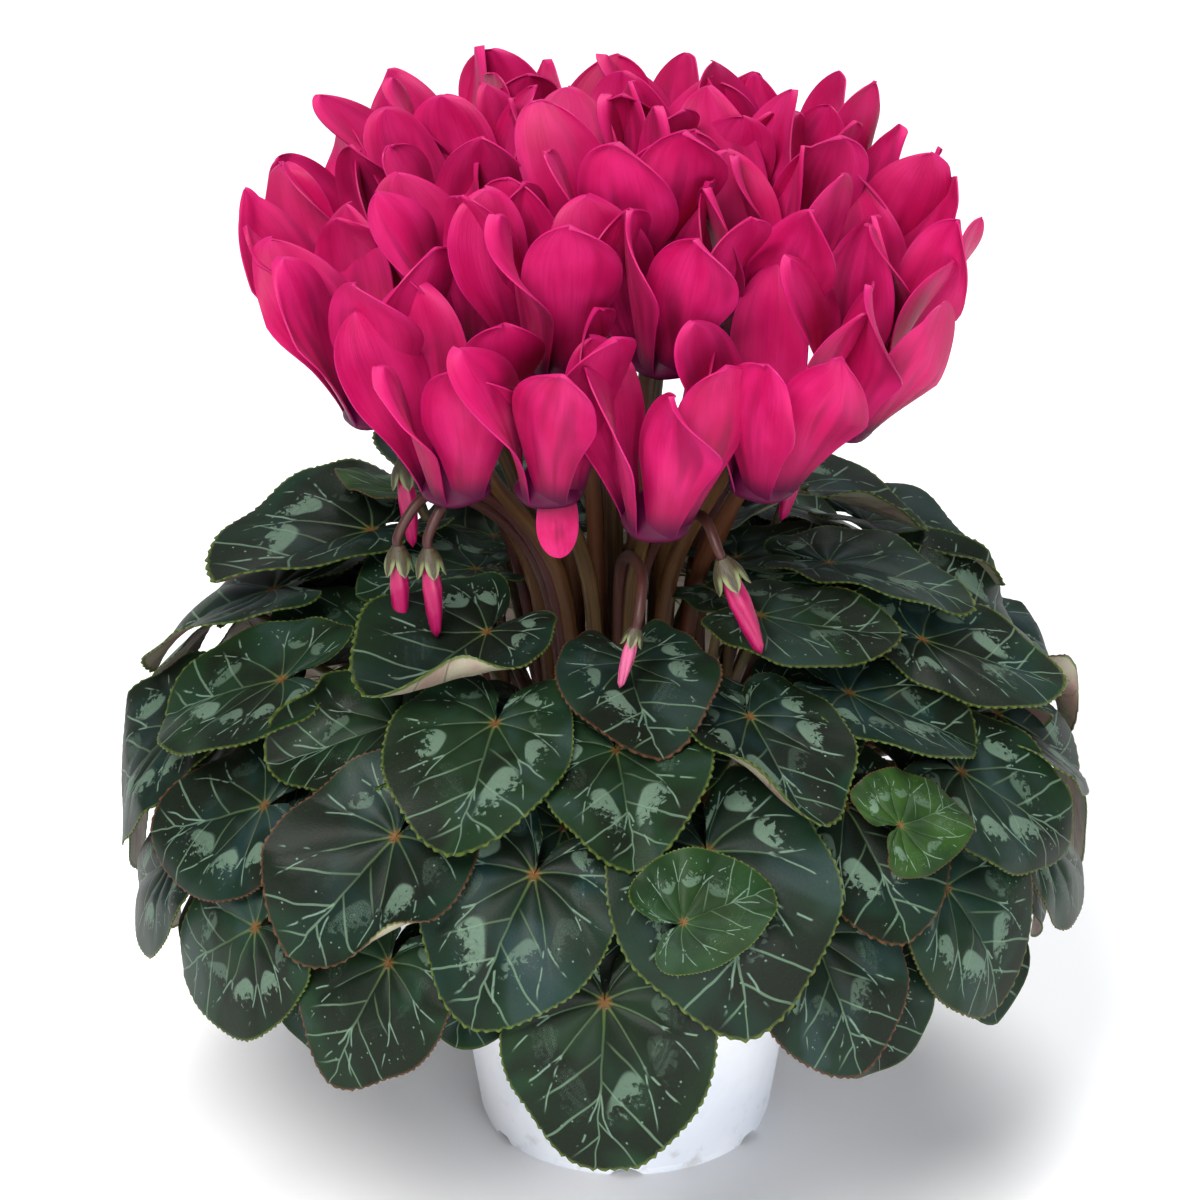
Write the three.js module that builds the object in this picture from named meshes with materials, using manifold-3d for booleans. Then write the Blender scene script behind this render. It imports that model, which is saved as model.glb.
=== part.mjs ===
// A florist's cyclamen in flower, standing in its nursery pot.
// Millimetres, +Z up. The origin is the middle of the pot's underside, and -Y is the side it is seen from.

import * as THREE from 'three';
import { mergeVertices } from 'three/addons/utils/BufferGeometryUtils.js';
import Module from 'manifold-3d';

const wasm = await Module();
wasm.setup();

// Driving dimensions: the pot
const potHeight = 104;
const potRimRadius = 60;
const potBaseRadius = 45;
const potWall = 1.8;
const collarHeight = 13;
const collarStep = 1.6;
const footHeight = 3;
const footStep = 1;
const potSides = 18;
const notchCount = 6;
const notchRadius = 7;
const drainRadius = 4;
const drainRing = 28;
const hubRadius = 16;

// The potting mix and the tuber
const soilTop = 94;
const soilGap = 0.4;
const tuberRadius = 24;
const tuberTop = 106;
const tuberFloor = 80;

// The leaf dome: an ellipse turned about an upright axis, flatter above its widest level than below it
const crownShift = -6;
const domeRadius = 138;
const domeLevel = 97;
const domeRise = 98;
const domeDrop = 104;

// The leaves
const bladeThickness = 0.8;
const shingleSlope = 0.29;
const petioleRadius = 1.5;
const petioleTip = 0.2;
const petioleSpread = 0.12;
const stubSink = 2.5;
const petioleSwing = 14;
const stubRadius = 2.8;
const stubFoot = 84;
const stubTop = 99;
const outerStubRing = 44;
const innerStubRing = 33;
// reach of the heart's outline from its notch, as shares of the notch-to-tip length
const heartAngles = [0, 25, 52, 80, 108, 137, 166];
const heartReach = [1, 0.86, 0.71, 0.62, 0.59, 0.56, 0.24];
const midRing = 0.56;

// The blooms
const petalLength = 53;
const petalHalfWidth = 11.2;
const petalThickness = 0.8;
const petalLevels = [0.45, 0.84];
const petalFullness = 1.02;
const mouthRadius = 9.4;
const crownRadius = 14;
const tubeLength = 10.5;
const petalOverlap = 2.2;
const stemGapTurn = 108;
const stemWaistHeight = 190;
const stemRootShare = 0.26;
const stemWaistShare = 0.2;
const stemClearance = 3.4;
const stemRootRadius = 2.7;
const stemNeckRadius = 1.9;
const hookRise = 6;
const calyxDepth = 2.5;
const seatGap = 0.4;
const calyxRadius = 4;
const budLength = 26;
const budRadius = 3.1;
const budStemRing = 16;
const budKneeRing = 30;
const budStemRadius = 2;
const budNeckRadius = 1.3;
const budCalyxRadius = 3.4;

const materials = {
  pot: new THREE.MeshStandardMaterial({ color: 0xe3e8f1, roughness: 0.42, metalness: 0 }),
  soil: new THREE.MeshStandardMaterial({ color: 0x2e211a, roughness: 0.95, metalness: 0 }),
  stems: new THREE.MeshStandardMaterial({ color: 0x5a4426, roughness: 0.6, metalness: 0 }),
  leaves: new THREE.MeshStandardMaterial({ color: 0x2a4435, roughness: 0.5, metalness: 0 }),
  petals: new THREE.MeshStandardMaterial({ color: 0xc81661, roughness: 0.55, metalness: 0 }),
};

const part = new THREE.Group();

function addPiece(name, solid, material) {
  const faces = solid.getMesh();
  const geometry = new THREE.BufferGeometry();
  geometry.setAttribute('position', new THREE.BufferAttribute(new Float32Array(faces.vertProperties), 3));
  geometry.setIndex(new THREE.BufferAttribute(new Uint32Array(faces.triVerts), 1));
  const mesh = new THREE.Mesh(geometry, material);
  mesh.name = name;
  part.add(mesh);
}

// A closed three.js geometry as a solid for cutting and joining
function solidFrom(geometry) {
  const bare = geometry.clone();
  bare.deleteAttribute('normal');
  bare.deleteAttribute('uv');
  const closed = mergeVertices(bare, 1e-4);
  return new wasm.Manifold(new wasm.Mesh({
    numProp: 3,
    vertProperties: new Float32Array(closed.attributes.position.array),
    triVerts: new Uint32Array(closed.index.array),
  }));
}

// A solid from its corners and triangles, turned so that its faces point out
function solidFromCorners(corners, triangles) {
  let volume = 0;
  for (const [a, b, c] of triangles) {
    volume += corners[a].dot(new THREE.Vector3().crossVectors(corners[b], corners[c]));
  }
  const facingOut = volume > 0 ? triangles : triangles.map(([a, b, c]) => [a, c, b]);
  const geometry = new THREE.BufferGeometry().setFromPoints(corners);
  geometry.setIndex(facingOut.flat());
  return solidFrom(geometry);
}

function joined(solids) {
  return solids.reduce((whole, solid) => whole.add(solid));
}

function turned(profile, sides) {
  const points = profile.map(([radius, height]) => new THREE.Vector2(radius, height));
  return solidFrom(new THREE.LatheGeometry(points, sides).rotateX(Math.PI / 2));
}

function upright(radius, bottom, top, sides, x, y) {
  const post = new THREE.CylinderGeometry(radius, radius, top - bottom, sides);
  post.rotateX(Math.PI / 2).translate(x, y, (top + bottom) / 2);
  return solidFrom(post);
}

// A tube along a curve whose radius changes evenly from its root to its neck; its last ring may flare out
function taperedTube(curve, steps, sides, rootRadius, neckRadius, endRadius = neckRadius) {
  const corners = [];
  const triangles = [];
  const across = new THREE.Vector3(0.31, 0.95, 0);
  for (let step = 0; step <= steps; step += 1) {
    const centre = curve.getPoint(step / steps);
    const forward = curve.getTangent(step / steps);
    across.addScaledVector(forward, -across.dot(forward)).normalize();
    const beside = new THREE.Vector3().crossVectors(forward, across);
    const even = THREE.MathUtils.lerp(rootRadius, neckRadius, step / steps);
    const radius = step === steps ? endRadius : even;
    for (let side = 0; side < sides; side += 1) {
      const angle = (2 * Math.PI * side) / sides;
      const corner = centre.clone().addScaledVector(across, radius * Math.cos(angle));
      corners.push(corner.addScaledVector(beside, radius * Math.sin(angle)));
      if (step > 0) {
        const next = (side + 1) % sides;
        const below = (step - 1) * sides;
        const here = step * sides;
        triangles.push([below + side, below + next, here + next]);
        triangles.push([below + side, here + next, here + side]);
      }
    }
  }
  for (let side = 1; side < sides - 1; side += 1) {
    triangles.push([0, side + 1, side]);
    const last = steps * sides;
    triangles.push([last, last + side, last + side + 1]);
  }
  return solidFromCorners(corners, triangles);
}

// The same scatter between -1 and 1 each time, for the small irregularities
function scatter(index, salt) {
  const wave = Math.sin(index * 12.9898 + salt * 78.233) * 43758.5453;
  return 2 * (wave - Math.floor(wave)) - 1;
}

const radians = THREE.MathUtils.degToRad;

// The pot: a tapered wall with a rim collar, on a foot ring and a flat hub, with drain holes between them
function makePot() {
  const collarFoot = potHeight - collarHeight;
  const slope = (potRimRadius - collarStep - potBaseRadius) / (collarFoot - footHeight);
  const outside = (height) => potBaseRadius + slope * (height - footHeight);
  const shell = turned([
    [0, 0],
    [hubRadius, 0],
    [hubRadius + 1, footHeight],
    [potBaseRadius - footStep - 4, footHeight],
    [potBaseRadius - footStep - 3, 0],
    [potBaseRadius - footStep, 0],
    [potBaseRadius - footStep, footHeight - 0.5],
    [potBaseRadius, footHeight],
    [outside(collarFoot), collarFoot],
    [potRimRadius, collarFoot + 0.6],
    [potRimRadius + 0.8, potHeight],
    [potRimRadius + 0.8 - potWall, potHeight],
    [outside(collarFoot) - potWall, collarFoot],
    [potBaseRadius - potWall, footHeight + potWall + 1.4],
    [0, footHeight + potWall],
  ], potSides);
  let pot = shell;
  for (let index = 0; index < notchCount; index += 1) {
    const around = (2 * Math.PI * (index + 0.5)) / notchCount;
    const arch = new THREE.CylinderGeometry(notchRadius, notchRadius, 8, 10);
    arch.rotateZ(Math.PI / 2).translate(potBaseRadius - 3, 0, footHeight - 0.6 - notchRadius).rotateZ(around);
    pot = pot.subtract(solidFrom(arch));
    const drain = upright(drainRadius, 1, 9, 6, drainRing * Math.cos(around), drainRing * Math.sin(around));
    pot = pot.subtract(drain);
  }
  return pot;
}

// The leaves. Each row: azimuth round the dome, height on the dome as an ellipse angle, notch-to-tip length,
// turn of the tip from straight downhill, lift off the dome, fold along the midrib.
const topLeaves = [
  [-126, 62, 42, 18, 7, 0.05],
  [-83, 60, 38, -12, 5, 0.1],
  [-47, 63, 40, 30, 8, -0.1],
  [-8, 62, 42, 15, 6, 0.05],
  [36, 62, 43, -10, 7, 0.05],
  [82, 62, 42, 12, 6, -0.05],
  [126, 62, 42, -15, 8, 0.05],
  [172, 61, 45, 10, 8, 0.12],
];
const upperLeaves = [
  [-156, 44, 42, -25, 6.5, 0.1],
  [-133, 48, 39, -15, 2, 0.08],
  [-110, 49, 43, 8, 6, 0.12],
  [-89, 47, 39, 14, 3, 0.05],
  [-63, 49, 40, -14, 6, 0],
  [-37, 49.5, 43, 5, 0.5, 0.1],
  [-17, 47, 43, 25, 6, 0.04],
  [8, 47, 46, 12, 2.5, 0.05],
  [32, 48, 43, -10, 6, 0.1],
  [56, 48, 45, 10, 1, 0],
  [80, 47, 41, -14, 6, 0.08],
  [105, 49, 44, 12, 1, 0.05],
  [129, 47, 43, -8, 6, 0.1],
  [154, 48, 43, 12, 1, 0],
  [179, 47, 45, -10, 10, 0.06],
];
const lowerLeaves = [
  [-169, 26, 43, -22, 6, 0.05],
  [-146, 30, 42, -12, 1, 0],
  [-122, 31, 45, 4, 5, 0.06],
  [-101, 29, 46, -8, 1, 0.1],
  [-77, 31, 52, 8, 5, 0.1],
  [-53, 34, 42, -8, 1, 0],
  [-31, 31, 44, 18, 3, 0.06],
  [-9, 31, 44, 12, 1, 0.05],
  [16, 31, 43, -10, 4.6, 0.08],
  [37, 30, 44, 12, 1, 0],
  [60, 32, 44, -12, 3, 0.05],
  [84, 30, 46, 10, 1, 0.08],
  [108, 32, 43, -10, 5.6, 0],
  [132, 30, 46, 12, 1, 0.05],
  [158, 31, 44, -8, 5, 0.05],
];
const hangingLeaves = [
  [-161, 11, 41, -18, 0, 0.05],
  [-139, 13, 43, -10, 4, 0],
  [-118, 12, 40, -6, 1.5, 0.06],
  [-90, 9, 49, -6, -1, 0.15],
  [-62, 16, 41, -12, 0, 0],
  [-43, 17, 42, 10, 3, 0.06],
  [-18, 14, 43, 22, 0, 0.05],
  [6, 14, 43, 8, 1.5, 0],
  [29, 14, 43, -10, 0, 0.06],
  [52, 15, 43, 12, 4, 0],
  [75, 14, 45, -8, 0, 0.05],
  [98, 15, 43, 10, 2, 0.05],
  [121, 14, 43, -12, 0, 0],
  [144, 14, 43, 8, 4, 0.05],
  [-183, 14, 43, -8, 2, 0.06],
];
// Young leaves that lie over the others, each with the index of the top leaf whose stub it shares
const youngLeaves = [
  [-78, 27, 26, -4, 15, 0.04, 1],
  [-51, 31, 24, 35, 16, 0.02, 2],
  [158, 66, 26, -30, 15, 0.05, 7],
  [46, 26, 23, 0, 16, 0.04, 4],
];

function leafFrom(row, index, climb) {
  const [azimuth, height, length, turn, lift, fold] = row;
  return {
    azimuth: radians(azimuth),
    height: radians(height),
    length,
    turn: radians(turn),
    lift,
    fold,
    climb,
    droop: 0.1 + 0.04 * scatter(index, 1),
    wave: 1.1 + 0.5 * scatter(index, 2),
    waves: 3 + Math.round(scatter(index, 3)),
    phase: 3 * scatter(index, 4),
    roll: 0.04 * scatter(index, 5),
  };
}

function domePoint(height, azimuth, lift) {
  const rise = height > 0 ? domeRise : domeDrop;
  const outward = Math.cos(height) / domeRadius;
  const upward = Math.sin(height) / rise;
  const size = Math.hypot(outward, upward);
  const reach = domeRadius * Math.cos(height) + (lift * outward) / size;
  return new THREE.Vector3(
    crownShift + reach * Math.cos(azimuth),
    reach * Math.sin(azimuth),
    domeLevel + rise * Math.sin(height) + (lift * upward) / size,
  );
}

// Length along the dome's profile for one radian of its ellipse angle
function domeStride(height) {
  return Math.hypot(domeRadius * Math.sin(height), domeRise * Math.cos(height));
}

function outlineReach(leaf, angle) {
  const turn = Math.abs(angle);
  let index = 0;
  while (index < heartAngles.length - 2 && turn > radians(heartAngles[index + 1])) {
    index += 1;
  }
  const from = radians(heartAngles[index]);
  const to = radians(heartAngles[index + 1]);
  return leaf.length * THREE.MathUtils.lerp(heartReach[index], heartReach[index + 1], (turn - from) / (to - from));
}

// A point of a leaf, by its angle about the notch, its share of the way out to the edge and its side of the blade
function leafPoint(leaf, angle, share, side) {
  const reach = outlineReach(leaf, angle) * share;
  const along = reach * Math.cos(angle);
  const across = reach * Math.sin(angle);
  const downhill = along * Math.cos(leaf.turn) - across * Math.sin(leaf.turn);
  const sideways = along * Math.sin(leaf.turn) + across * Math.cos(leaf.turn);
  const middle = leaf.height - (0.35 * leaf.length) / domeStride(leaf.height);
  const height = leaf.height - downhill / domeStride(middle);
  const azimuth = leaf.azimuth + sideways / (domeRadius * Math.cos(middle));
  const forward = Math.max(along, 0) / leaf.length;
  const lift = leaf.lift + shingleSlope * downhill + leaf.fold * Math.abs(across) + leaf.roll * across
    + leaf.wave * share * share * Math.sin(leaf.waves * angle + leaf.phase)
    - leaf.droop * leaf.length * forward * forward;
  return domePoint(height, azimuth, lift + (side * bladeThickness) / 2);
}

function makeBlade(leaf) {
  const outline = [...heartAngles.slice(1).reverse().map((angle) => -angle), ...heartAngles].map(radians);
  const ring = outline.filter((angle, index) => index % 2 === 0);
  const corners = [];
  const triangles = [];
  const perFace = 1 + ring.length + outline.length;
  for (const side of [1, -1]) {
    corners.push(leafPoint(leaf, 0, 0, side));
    ring.forEach((angle) => corners.push(leafPoint(leaf, angle, midRing, side)));
    outline.forEach((angle) => corners.push(leafPoint(leaf, angle, 1, side)));
  }
  const edge = 1 + ring.length;
  const face = [];
  for (let index = 0; index < ring.length - 1; index += 1) {
    const here = 1 + index;
    const rim = edge + 2 * index;
    face.push([0, here, here + 1]);
    face.push([here, rim, rim + 1]);
    face.push([here, rim + 1, here + 1]);
    face.push([here + 1, rim + 1, rim + 2]);
  }
  for (const [a, b, c] of face) {
    triangles.push([a, b, c]);
    triangles.push([a + perFace, c + perFace, b + perFace]);
  }
  const border = [0, 1];
  for (let index = 0; index < outline.length; index += 1) {
    border.push(edge + index);
  }
  border.push(ring.length);
  border.forEach((here, index) => {
    const next = border[(index + 1) % border.length];
    triangles.push([here, here + perFace, next + perFace]);
    triangles.push([here, next + perFace, next]);
  });
  return solidFromCorners(corners, triangles);
}

// A petiole from its stub in the mix, up inside the dome and out to the notch of its leaf
function makePetiole(leaf, stub) {
  const notch = leafPoint(leaf, 0.35, 0.07, 0);
  const below = domePoint(leaf.height, leaf.azimuth, leaf.lift - petioleSwing);
  const start = new THREE.Vector3(stub.x, stub.y, stubTop - stubSink);
  const rise = start.clone().lerp(below, petioleSpread).setZ(stubTop + leaf.climb);
  const curve = new THREE.CubicBezierCurve3(start, rise, below, notch);
  return taperedTube(curve, 3, 3, petioleRadius + 0.3, petioleRadius, petioleTip);
}

function stubPlace(azimuth, ring) {
  return { x: crownShift / 2 + ring * Math.cos(azimuth), y: ring * Math.sin(azimuth) };
}

function makeLeafGroup(name, leaves, azimuth, ring) {
  const stub = stubPlace(azimuth, ring);
  const solids = [upright(stubRadius, stubFoot, stubTop, 4, stub.x, stub.y)];
  for (const leaf of leaves) {
    solids.push(makeBlade(leaf));
    solids.push(makePetiole(leaf, stub));
  }
  addPiece(name, joined(solids), materials.leaves);
  return stub;
}

// The blooms. Each row: azimuth, reach of the mouth from the crown's axis, height of the mouth, outward lean,
// turn of the petals about the bloom's own axis, flare of the petal tips.
const blooms = [
  [-129, 71, 235, 7, 0, 1],
  [-105, 70, 240, 5, 20, 1],
  [-80, 71, 231, 8, -4, 1],
  [-54, 72, 238, 9, 15, 1],
  [-28, 74, 247, 16, 0, 3],
  [-2, 75, 253, 17, 10, 4],
  [24, 75, 259, 15, -10, 4],
  [50, 75, 264, 13, 0, 3],
  [76, 75, 263, 12, 5, 2],
  [102, 75, 264, 12, -15, 2],
  [128, 75, 266, 13, 0, 3],
  [154, 75, 259, 15, 10, 4],
  [179, 75, 255, 15, -10, 3],
  [-155, 75, 249, 10, 5, 2],
  [-155, 44, 264, 6, 10, 1],
  [-114, 42, 266, 4, -10, 1],
  [-70, 43, 268, 4, 0, 1],
  [-26, 44, 266, 6, 15, 1],
  [18, 44, 268, 7, 0, 1],
  [63, 44, 267, 6, 10, 1],
  [109, 44, 266, 6, -10, 1],
  [156, 44, 268, 7, 0, 1],
  [-91, 13.5, 279, 1, 4, 0],
  [92, 17, 274, 3, -15, 0],
];

function bloomFrom(row, index) {
  const [azimuth, reach, height, lean, turn, flare] = row;
  const around = radians(azimuth);
  const tilt = radians(lean);
  const outward = new THREE.Vector3(Math.cos(around), Math.sin(around), 0);
  const axis = outward.clone().multiplyScalar(Math.sin(tilt)).setZ(Math.cos(tilt));
  const inward = outward.clone().multiplyScalar(-Math.cos(tilt)).setZ(Math.sin(tilt));
  inward.applyAxisAngle(axis, radians(turn));
  return {
    index,
    azimuth: around,
    mouth: new THREE.Vector3(crownShift * 0.7 + reach * outward.x, reach * outward.y, height),
    axis,
    inward,
    across: new THREE.Vector3().crossVectors(axis, inward),
    flare,
  };
}

// From a bloom's own cylindrical place, with angle 0 where its stem passes, to the part's frame
function bloomPoint(bloom, radius, angle, height) {
  return bloom.mouth.clone()
    .addScaledVector(bloom.inward, radius * Math.cos(angle))
    .addScaledVector(bloom.across, radius * Math.sin(angle))
    .addScaledVector(bloom.axis, height);
}

// A petal's width as a share of its widest, narrow at the mouth and rounded off at the tip
function petalWidth(up) {
  const widest = 0.64;
  if (up < widest) {
    return 0.36 + 0.64 * Math.sin((0.5 * Math.PI * up) / widest) ** 1.4;
  }
  return Math.sqrt(1 - ((up - widest) / (petalFullness - widest)) ** 3);
}

// Petal angles about the bloom's axis: a wider gap is left where the stem passes
function petalAngle(petal) {
  return radians(0.5 * stemGapTurn + (petal * (360 - stemGapTurn)) / 4);
}

function petalPoint(bloom, petal, up, side, depth) {
  const seed = bloom.index * 5 + petal;
  const length = petalLength * (1 + 0.07 * scatter(seed, 6));
  const base = mouthRadius - 0.6;
  const swell = base + (crownRadius - base) * Math.sin(0.5 * Math.PI * Math.min(1, up / 0.85));
  const overlap = petalOverlap * side * Math.min(1, up / 0.3);
  const ripple = 0.5 * side * up * Math.sin(5 * up + 3 * scatter(seed, 7));
  const flare = (bloom.flare + 2 * scatter(seed, 8)) * up * up * up;
  const radius = swell + overlap + ripple + flare + depth;
  const halfWidth = petalHalfWidth * petalWidth(up);
  const lag = 0.12 * up * scatter(seed, 9);
  const angle = petalAngle(petal) + (halfWidth * side) / (swell + 0.5 * flare) + lag;
  return bloomPoint(bloom, radius, angle, length * up);
}

// A bloom in one piece: a short tube with a rounded mouth, and five petals swept back from the mouth's edge.
// Its rings have two corners for each petal. Lists of three are triangles that face out.
function makeBloom(bloom) {
  const halfBase = (petalHalfWidth * petalWidth(0)) / (mouthRadius - 0.6);
  const rings = [
    [calyxRadius, tubeLength],
    [mouthRadius - 1.2, 2.2],
    [mouthRadius + 0.2, -0.6],
  ];
  const corners = [];
  for (const [radius, height] of rings) {
    for (let corner = 0; corner < 10; corner += 1) {
      const side = corner % 2 ? halfBase : -halfBase;
      corners.push(bloomPoint(bloom, radius, petalAngle(Math.floor(corner / 2)) + side, height));
    }
  }
  const roof = corners.push(bloomPoint(bloom, 0, 0, tubeLength)) - 1;
  const throat = corners.push(bloomPoint(bloom, 0, 0, 0.45 * tubeLength)) - 1;
  const triangles = [];
  for (let here = 0; here < 10; here += 1) {
    const next = (here + 1) % 10;
    triangles.push([here, next, roof]);
    triangles.push([10 + here, 10 + next, next], [10 + here, next, here]);
    if (here % 2) {
      triangles.push([20 + here, 20 + next, 10 + next], [20 + here, 10 + next, 10 + here]);
    }
    triangles.push([20 + next, 20 + here, throat]);
  }
  for (let petal = 0; petal < 5; petal += 1) {
    const start = corners.length;
    for (const depth of [0.5 * petalThickness, -0.5 * petalThickness]) {
      for (const up of petalLevels) {
        for (const side of [-1, 0, 1]) {
          corners.push(petalPoint(bloom, petal, up, side, depth));
        }
      }
      for (const side of [-1, 1]) {
        corners.push(petalPoint(bloom, petal, 1, side, depth));
      }
    }
    const face = (layer) => Array.from({ length: 8 }, (unused, index) => start + 8 * layer + index);
    const outer = [20 + 2 * petal, 21 + 2 * petal, ...face(0)];
    const inner = [10 + 2 * petal, 11 + 2 * petal, ...face(1)];
    const pattern = [
      [0, 1, 3], [0, 3, 2], [1, 4, 3], [2, 3, 6], [2, 6, 5], [3, 4, 7], [3, 7, 6],
      [5, 6, 8], [6, 9, 8], [6, 7, 9],
    ];
    for (const [a, b, c] of pattern) {
      triangles.push([outer[a], outer[b], outer[c]], [inner[a], inner[c], inner[b]]);
    }
    for (const [from, to] of [[0, 2], [2, 5], [5, 8], [8, 9], [9, 7], [7, 4], [4, 1]]) {
      triangles.push([outer[from], outer[to], inner[to]], [outer[from], inner[to], inner[from]]);
    }
  }
  return solidFromCorners(corners, triangles);
}

// A flower stem: out of the tuber, up the middle of the plant, past the mouth and over into the flared,
// five-pointed calyx
function makeStem(bloom) {
  const rootReach = stemRootShare * Math.hypot(bloom.mouth.x - crownShift, bloom.mouth.y);
  const root = new THREE.Vector3(
    crownShift / 2 + rootReach * Math.cos(bloom.azimuth),
    rootReach * Math.sin(bloom.azimuth),
    tuberTop - 8,
  );
  const passRadius = mouthRadius + stemClearance;
  const seat = tubeLength + seatGap;
  const beside = bloomPoint(bloom, passRadius, 0, 0);
  const middle = root.clone().lerp(beside, stemWaistShare).setZ(stemWaistHeight);
  const points = [
    root,
    middle,
    beside,
    bloomPoint(bloom, 0.86 * passRadius, 0, seat),
    bloomPoint(bloom, 0.4 * passRadius, 0, seat + hookRise),
    bloomPoint(bloom, 0, 0, seat + calyxDepth),
    bloomPoint(bloom, 0, 0, seat),
  ];
  const curve = new THREE.CatmullRomCurve3(points, false, 'centripetal');
  return taperedTube(curve, 6, 5, stemRootRadius, stemNeckRadius, calyxRadius);
}

// The closed buds. Each row: seat of the bud under its calyx, which way the bud points, top of its hook.
const buds = [
  [[-66, -8, 222], [0.1, -0.1, -1], [-57, -4, 236], 1],
  [[-66, -56, 216], [0.02, -0.05, -1], [-57, -48, 230], 1],
  [[-57, -62, 218], [0.08, -0.1, -1], [-49, -52, 233], 1],
  [[2, -84, 204], [-0.25, -0.1, -1], [4, -74, 215], 0.7],
  [[27, -76, 221], [0.4, -0.06, -1], [21, -66, 231], 1.15],
  [[52, -8, 230], [-0.25, -0.1, -1], [44, -6, 243], 1],
];

function makeBud(row) {
  const [seat, direction, , scale] = row;
  const profile = [[0, 0], [2, 3], [budRadius, 11], [2.2, 19], [0, budLength]];
  const points = profile.map(([radius, height]) => new THREE.Vector2(radius * scale, height * scale));
  const bud = new THREE.LatheGeometry(points, 6);
  const down = new THREE.Vector3(...direction).normalize();
  bud.applyQuaternion(new THREE.Quaternion().setFromUnitVectors(new THREE.Vector3(0, 1, 0), down));
  bud.translate(...seat);
  return solidFrom(bud);
}

function makeBudStem(row) {
  const [seatPlace, direction, hookTop, scale] = row;
  const up = new THREE.Vector3(...direction).normalize().negate();
  const seat = new THREE.Vector3(...seatPlace).addScaledVector(up, seatGap);
  const hook = new THREE.Vector3(...hookTop);
  const azimuth = Math.atan2(hook.y, hook.x - crownShift);
  const outward = new THREE.Vector3(Math.cos(azimuth), Math.sin(azimuth), 0);
  const root = new THREE.Vector3(crownShift / 2, 0, tuberTop - 9).addScaledVector(outward, budStemRing);
  const knee = new THREE.Vector3(crownShift, 0, stemWaistHeight + 8).addScaledVector(outward, budKneeRing);
  const points = [root, knee, hook, seat.clone().addScaledVector(up, calyxDepth + 1), seat];
  const curve = new THREE.CatmullRomCurve3(points, false, 'centripetal');
  return taperedTube(curve, 6, 5, budStemRadius, budNeckRadius, budCalyxRadius * scale);
}

const stubs = [];

upperLeaves.forEach((row, index) => {
  const upper = leafFrom(row, index, 22);
  const hanging = leafFrom(hangingLeaves[index], 20 + index, 46);
  const azimuth = 0.5 * (upper.azimuth + hanging.azimuth);
  const folded = Math.abs(upper.azimuth - hanging.azimuth) > Math.PI ? azimuth + Math.PI : azimuth;
  const name = `leaves_outer_${String(index + 1).padStart(2, '0')}`;
  stubs.push(makeLeafGroup(name, [upper, hanging], folded, outerStubRing));
});

const innerGroups = topLeaves.map((row, index) => [leafFrom(row, 40 + index, 40)]);
lowerLeaves.forEach((row, index) => {
  const leaf = leafFrom(row, 60 + index, 58);
  const away = (group) => Math.abs(Math.atan2(
    Math.sin(group[0].azimuth - leaf.azimuth),
    Math.cos(group[0].azimuth - leaf.azimuth),
  ));
  innerGroups.reduce((best, group) => (away(group) < away(best) ? group : best)).push(leaf);
});
youngLeaves.forEach((row, index) => innerGroups[row[6]].push(leafFrom(row, 80 + index, 60)));
innerGroups.forEach((leaves, index) => {
  const name = `leaves_inner_${String(index + 1).padStart(2, '0')}`;
  stubs.push(makeLeafGroup(name, leaves, leaves[0].azimuth, innerStubRing));
});

const bloomList = blooms.map(bloomFrom);
bloomList.forEach((bloom) => {
  addPiece(`bloom_${String(bloom.index + 1).padStart(2, '0')}`, makeBloom(bloom), materials.petals);
});
buds.forEach((row, index) => addPiece(`bud_${index + 1}`, makeBud(row), materials.petals));

function makeTuber() {
  const tuber = turned([
    [0, tuberFloor + soilGap],
    [tuberRadius - 5, tuberFloor + soilGap],
    [tuberRadius, soilTop - 3],
    [tuberRadius - 2, soilTop + 5],
    [tuberRadius - 10, tuberTop],
    [0, tuberTop],
  ], 12);
  const stems = [...bloomList.map(makeStem), ...buds.map(makeBudStem)];
  return joined([tuber, ...stems]);
}

function makeSoil() {
  const floor = footHeight + potWall + 1.4 + soilGap;
  const collarFoot = potHeight - collarHeight;
  const soil = turned([
    [0, floor],
    [potBaseRadius - potWall - 2.4, floor],
    [potRimRadius - collarStep - potWall - soilGap - 0.6, collarFoot],
    [potRimRadius - collarStep - potWall - soilGap - 0.4, soilTop],
    [0, soilTop],
  ], potSides);
  const bed = turned([
    [0, tuberFloor],
    [tuberRadius + soilGap, tuberFloor],
    [tuberRadius + soilGap, soilTop + 1],
    [0, soilTop + 1],
  ], 12);
  const holes = stubs.map(({ x, y }) => upright(stubRadius + 0.5, stubFoot - soilGap, soilTop + 1, 4, x, y));
  return soil.subtract(joined([bed, ...holes]));
}

addPiece('pot', makePot(), materials.pot);
addPiece('soil', makeSoil(), materials.soil);
addPiece('tuber_and_stems', makeTuber(), materials.stems);

export default part;
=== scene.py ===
import math
from functools import partialmethod

import bpy
import numpy as np
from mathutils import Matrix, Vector, noise


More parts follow.
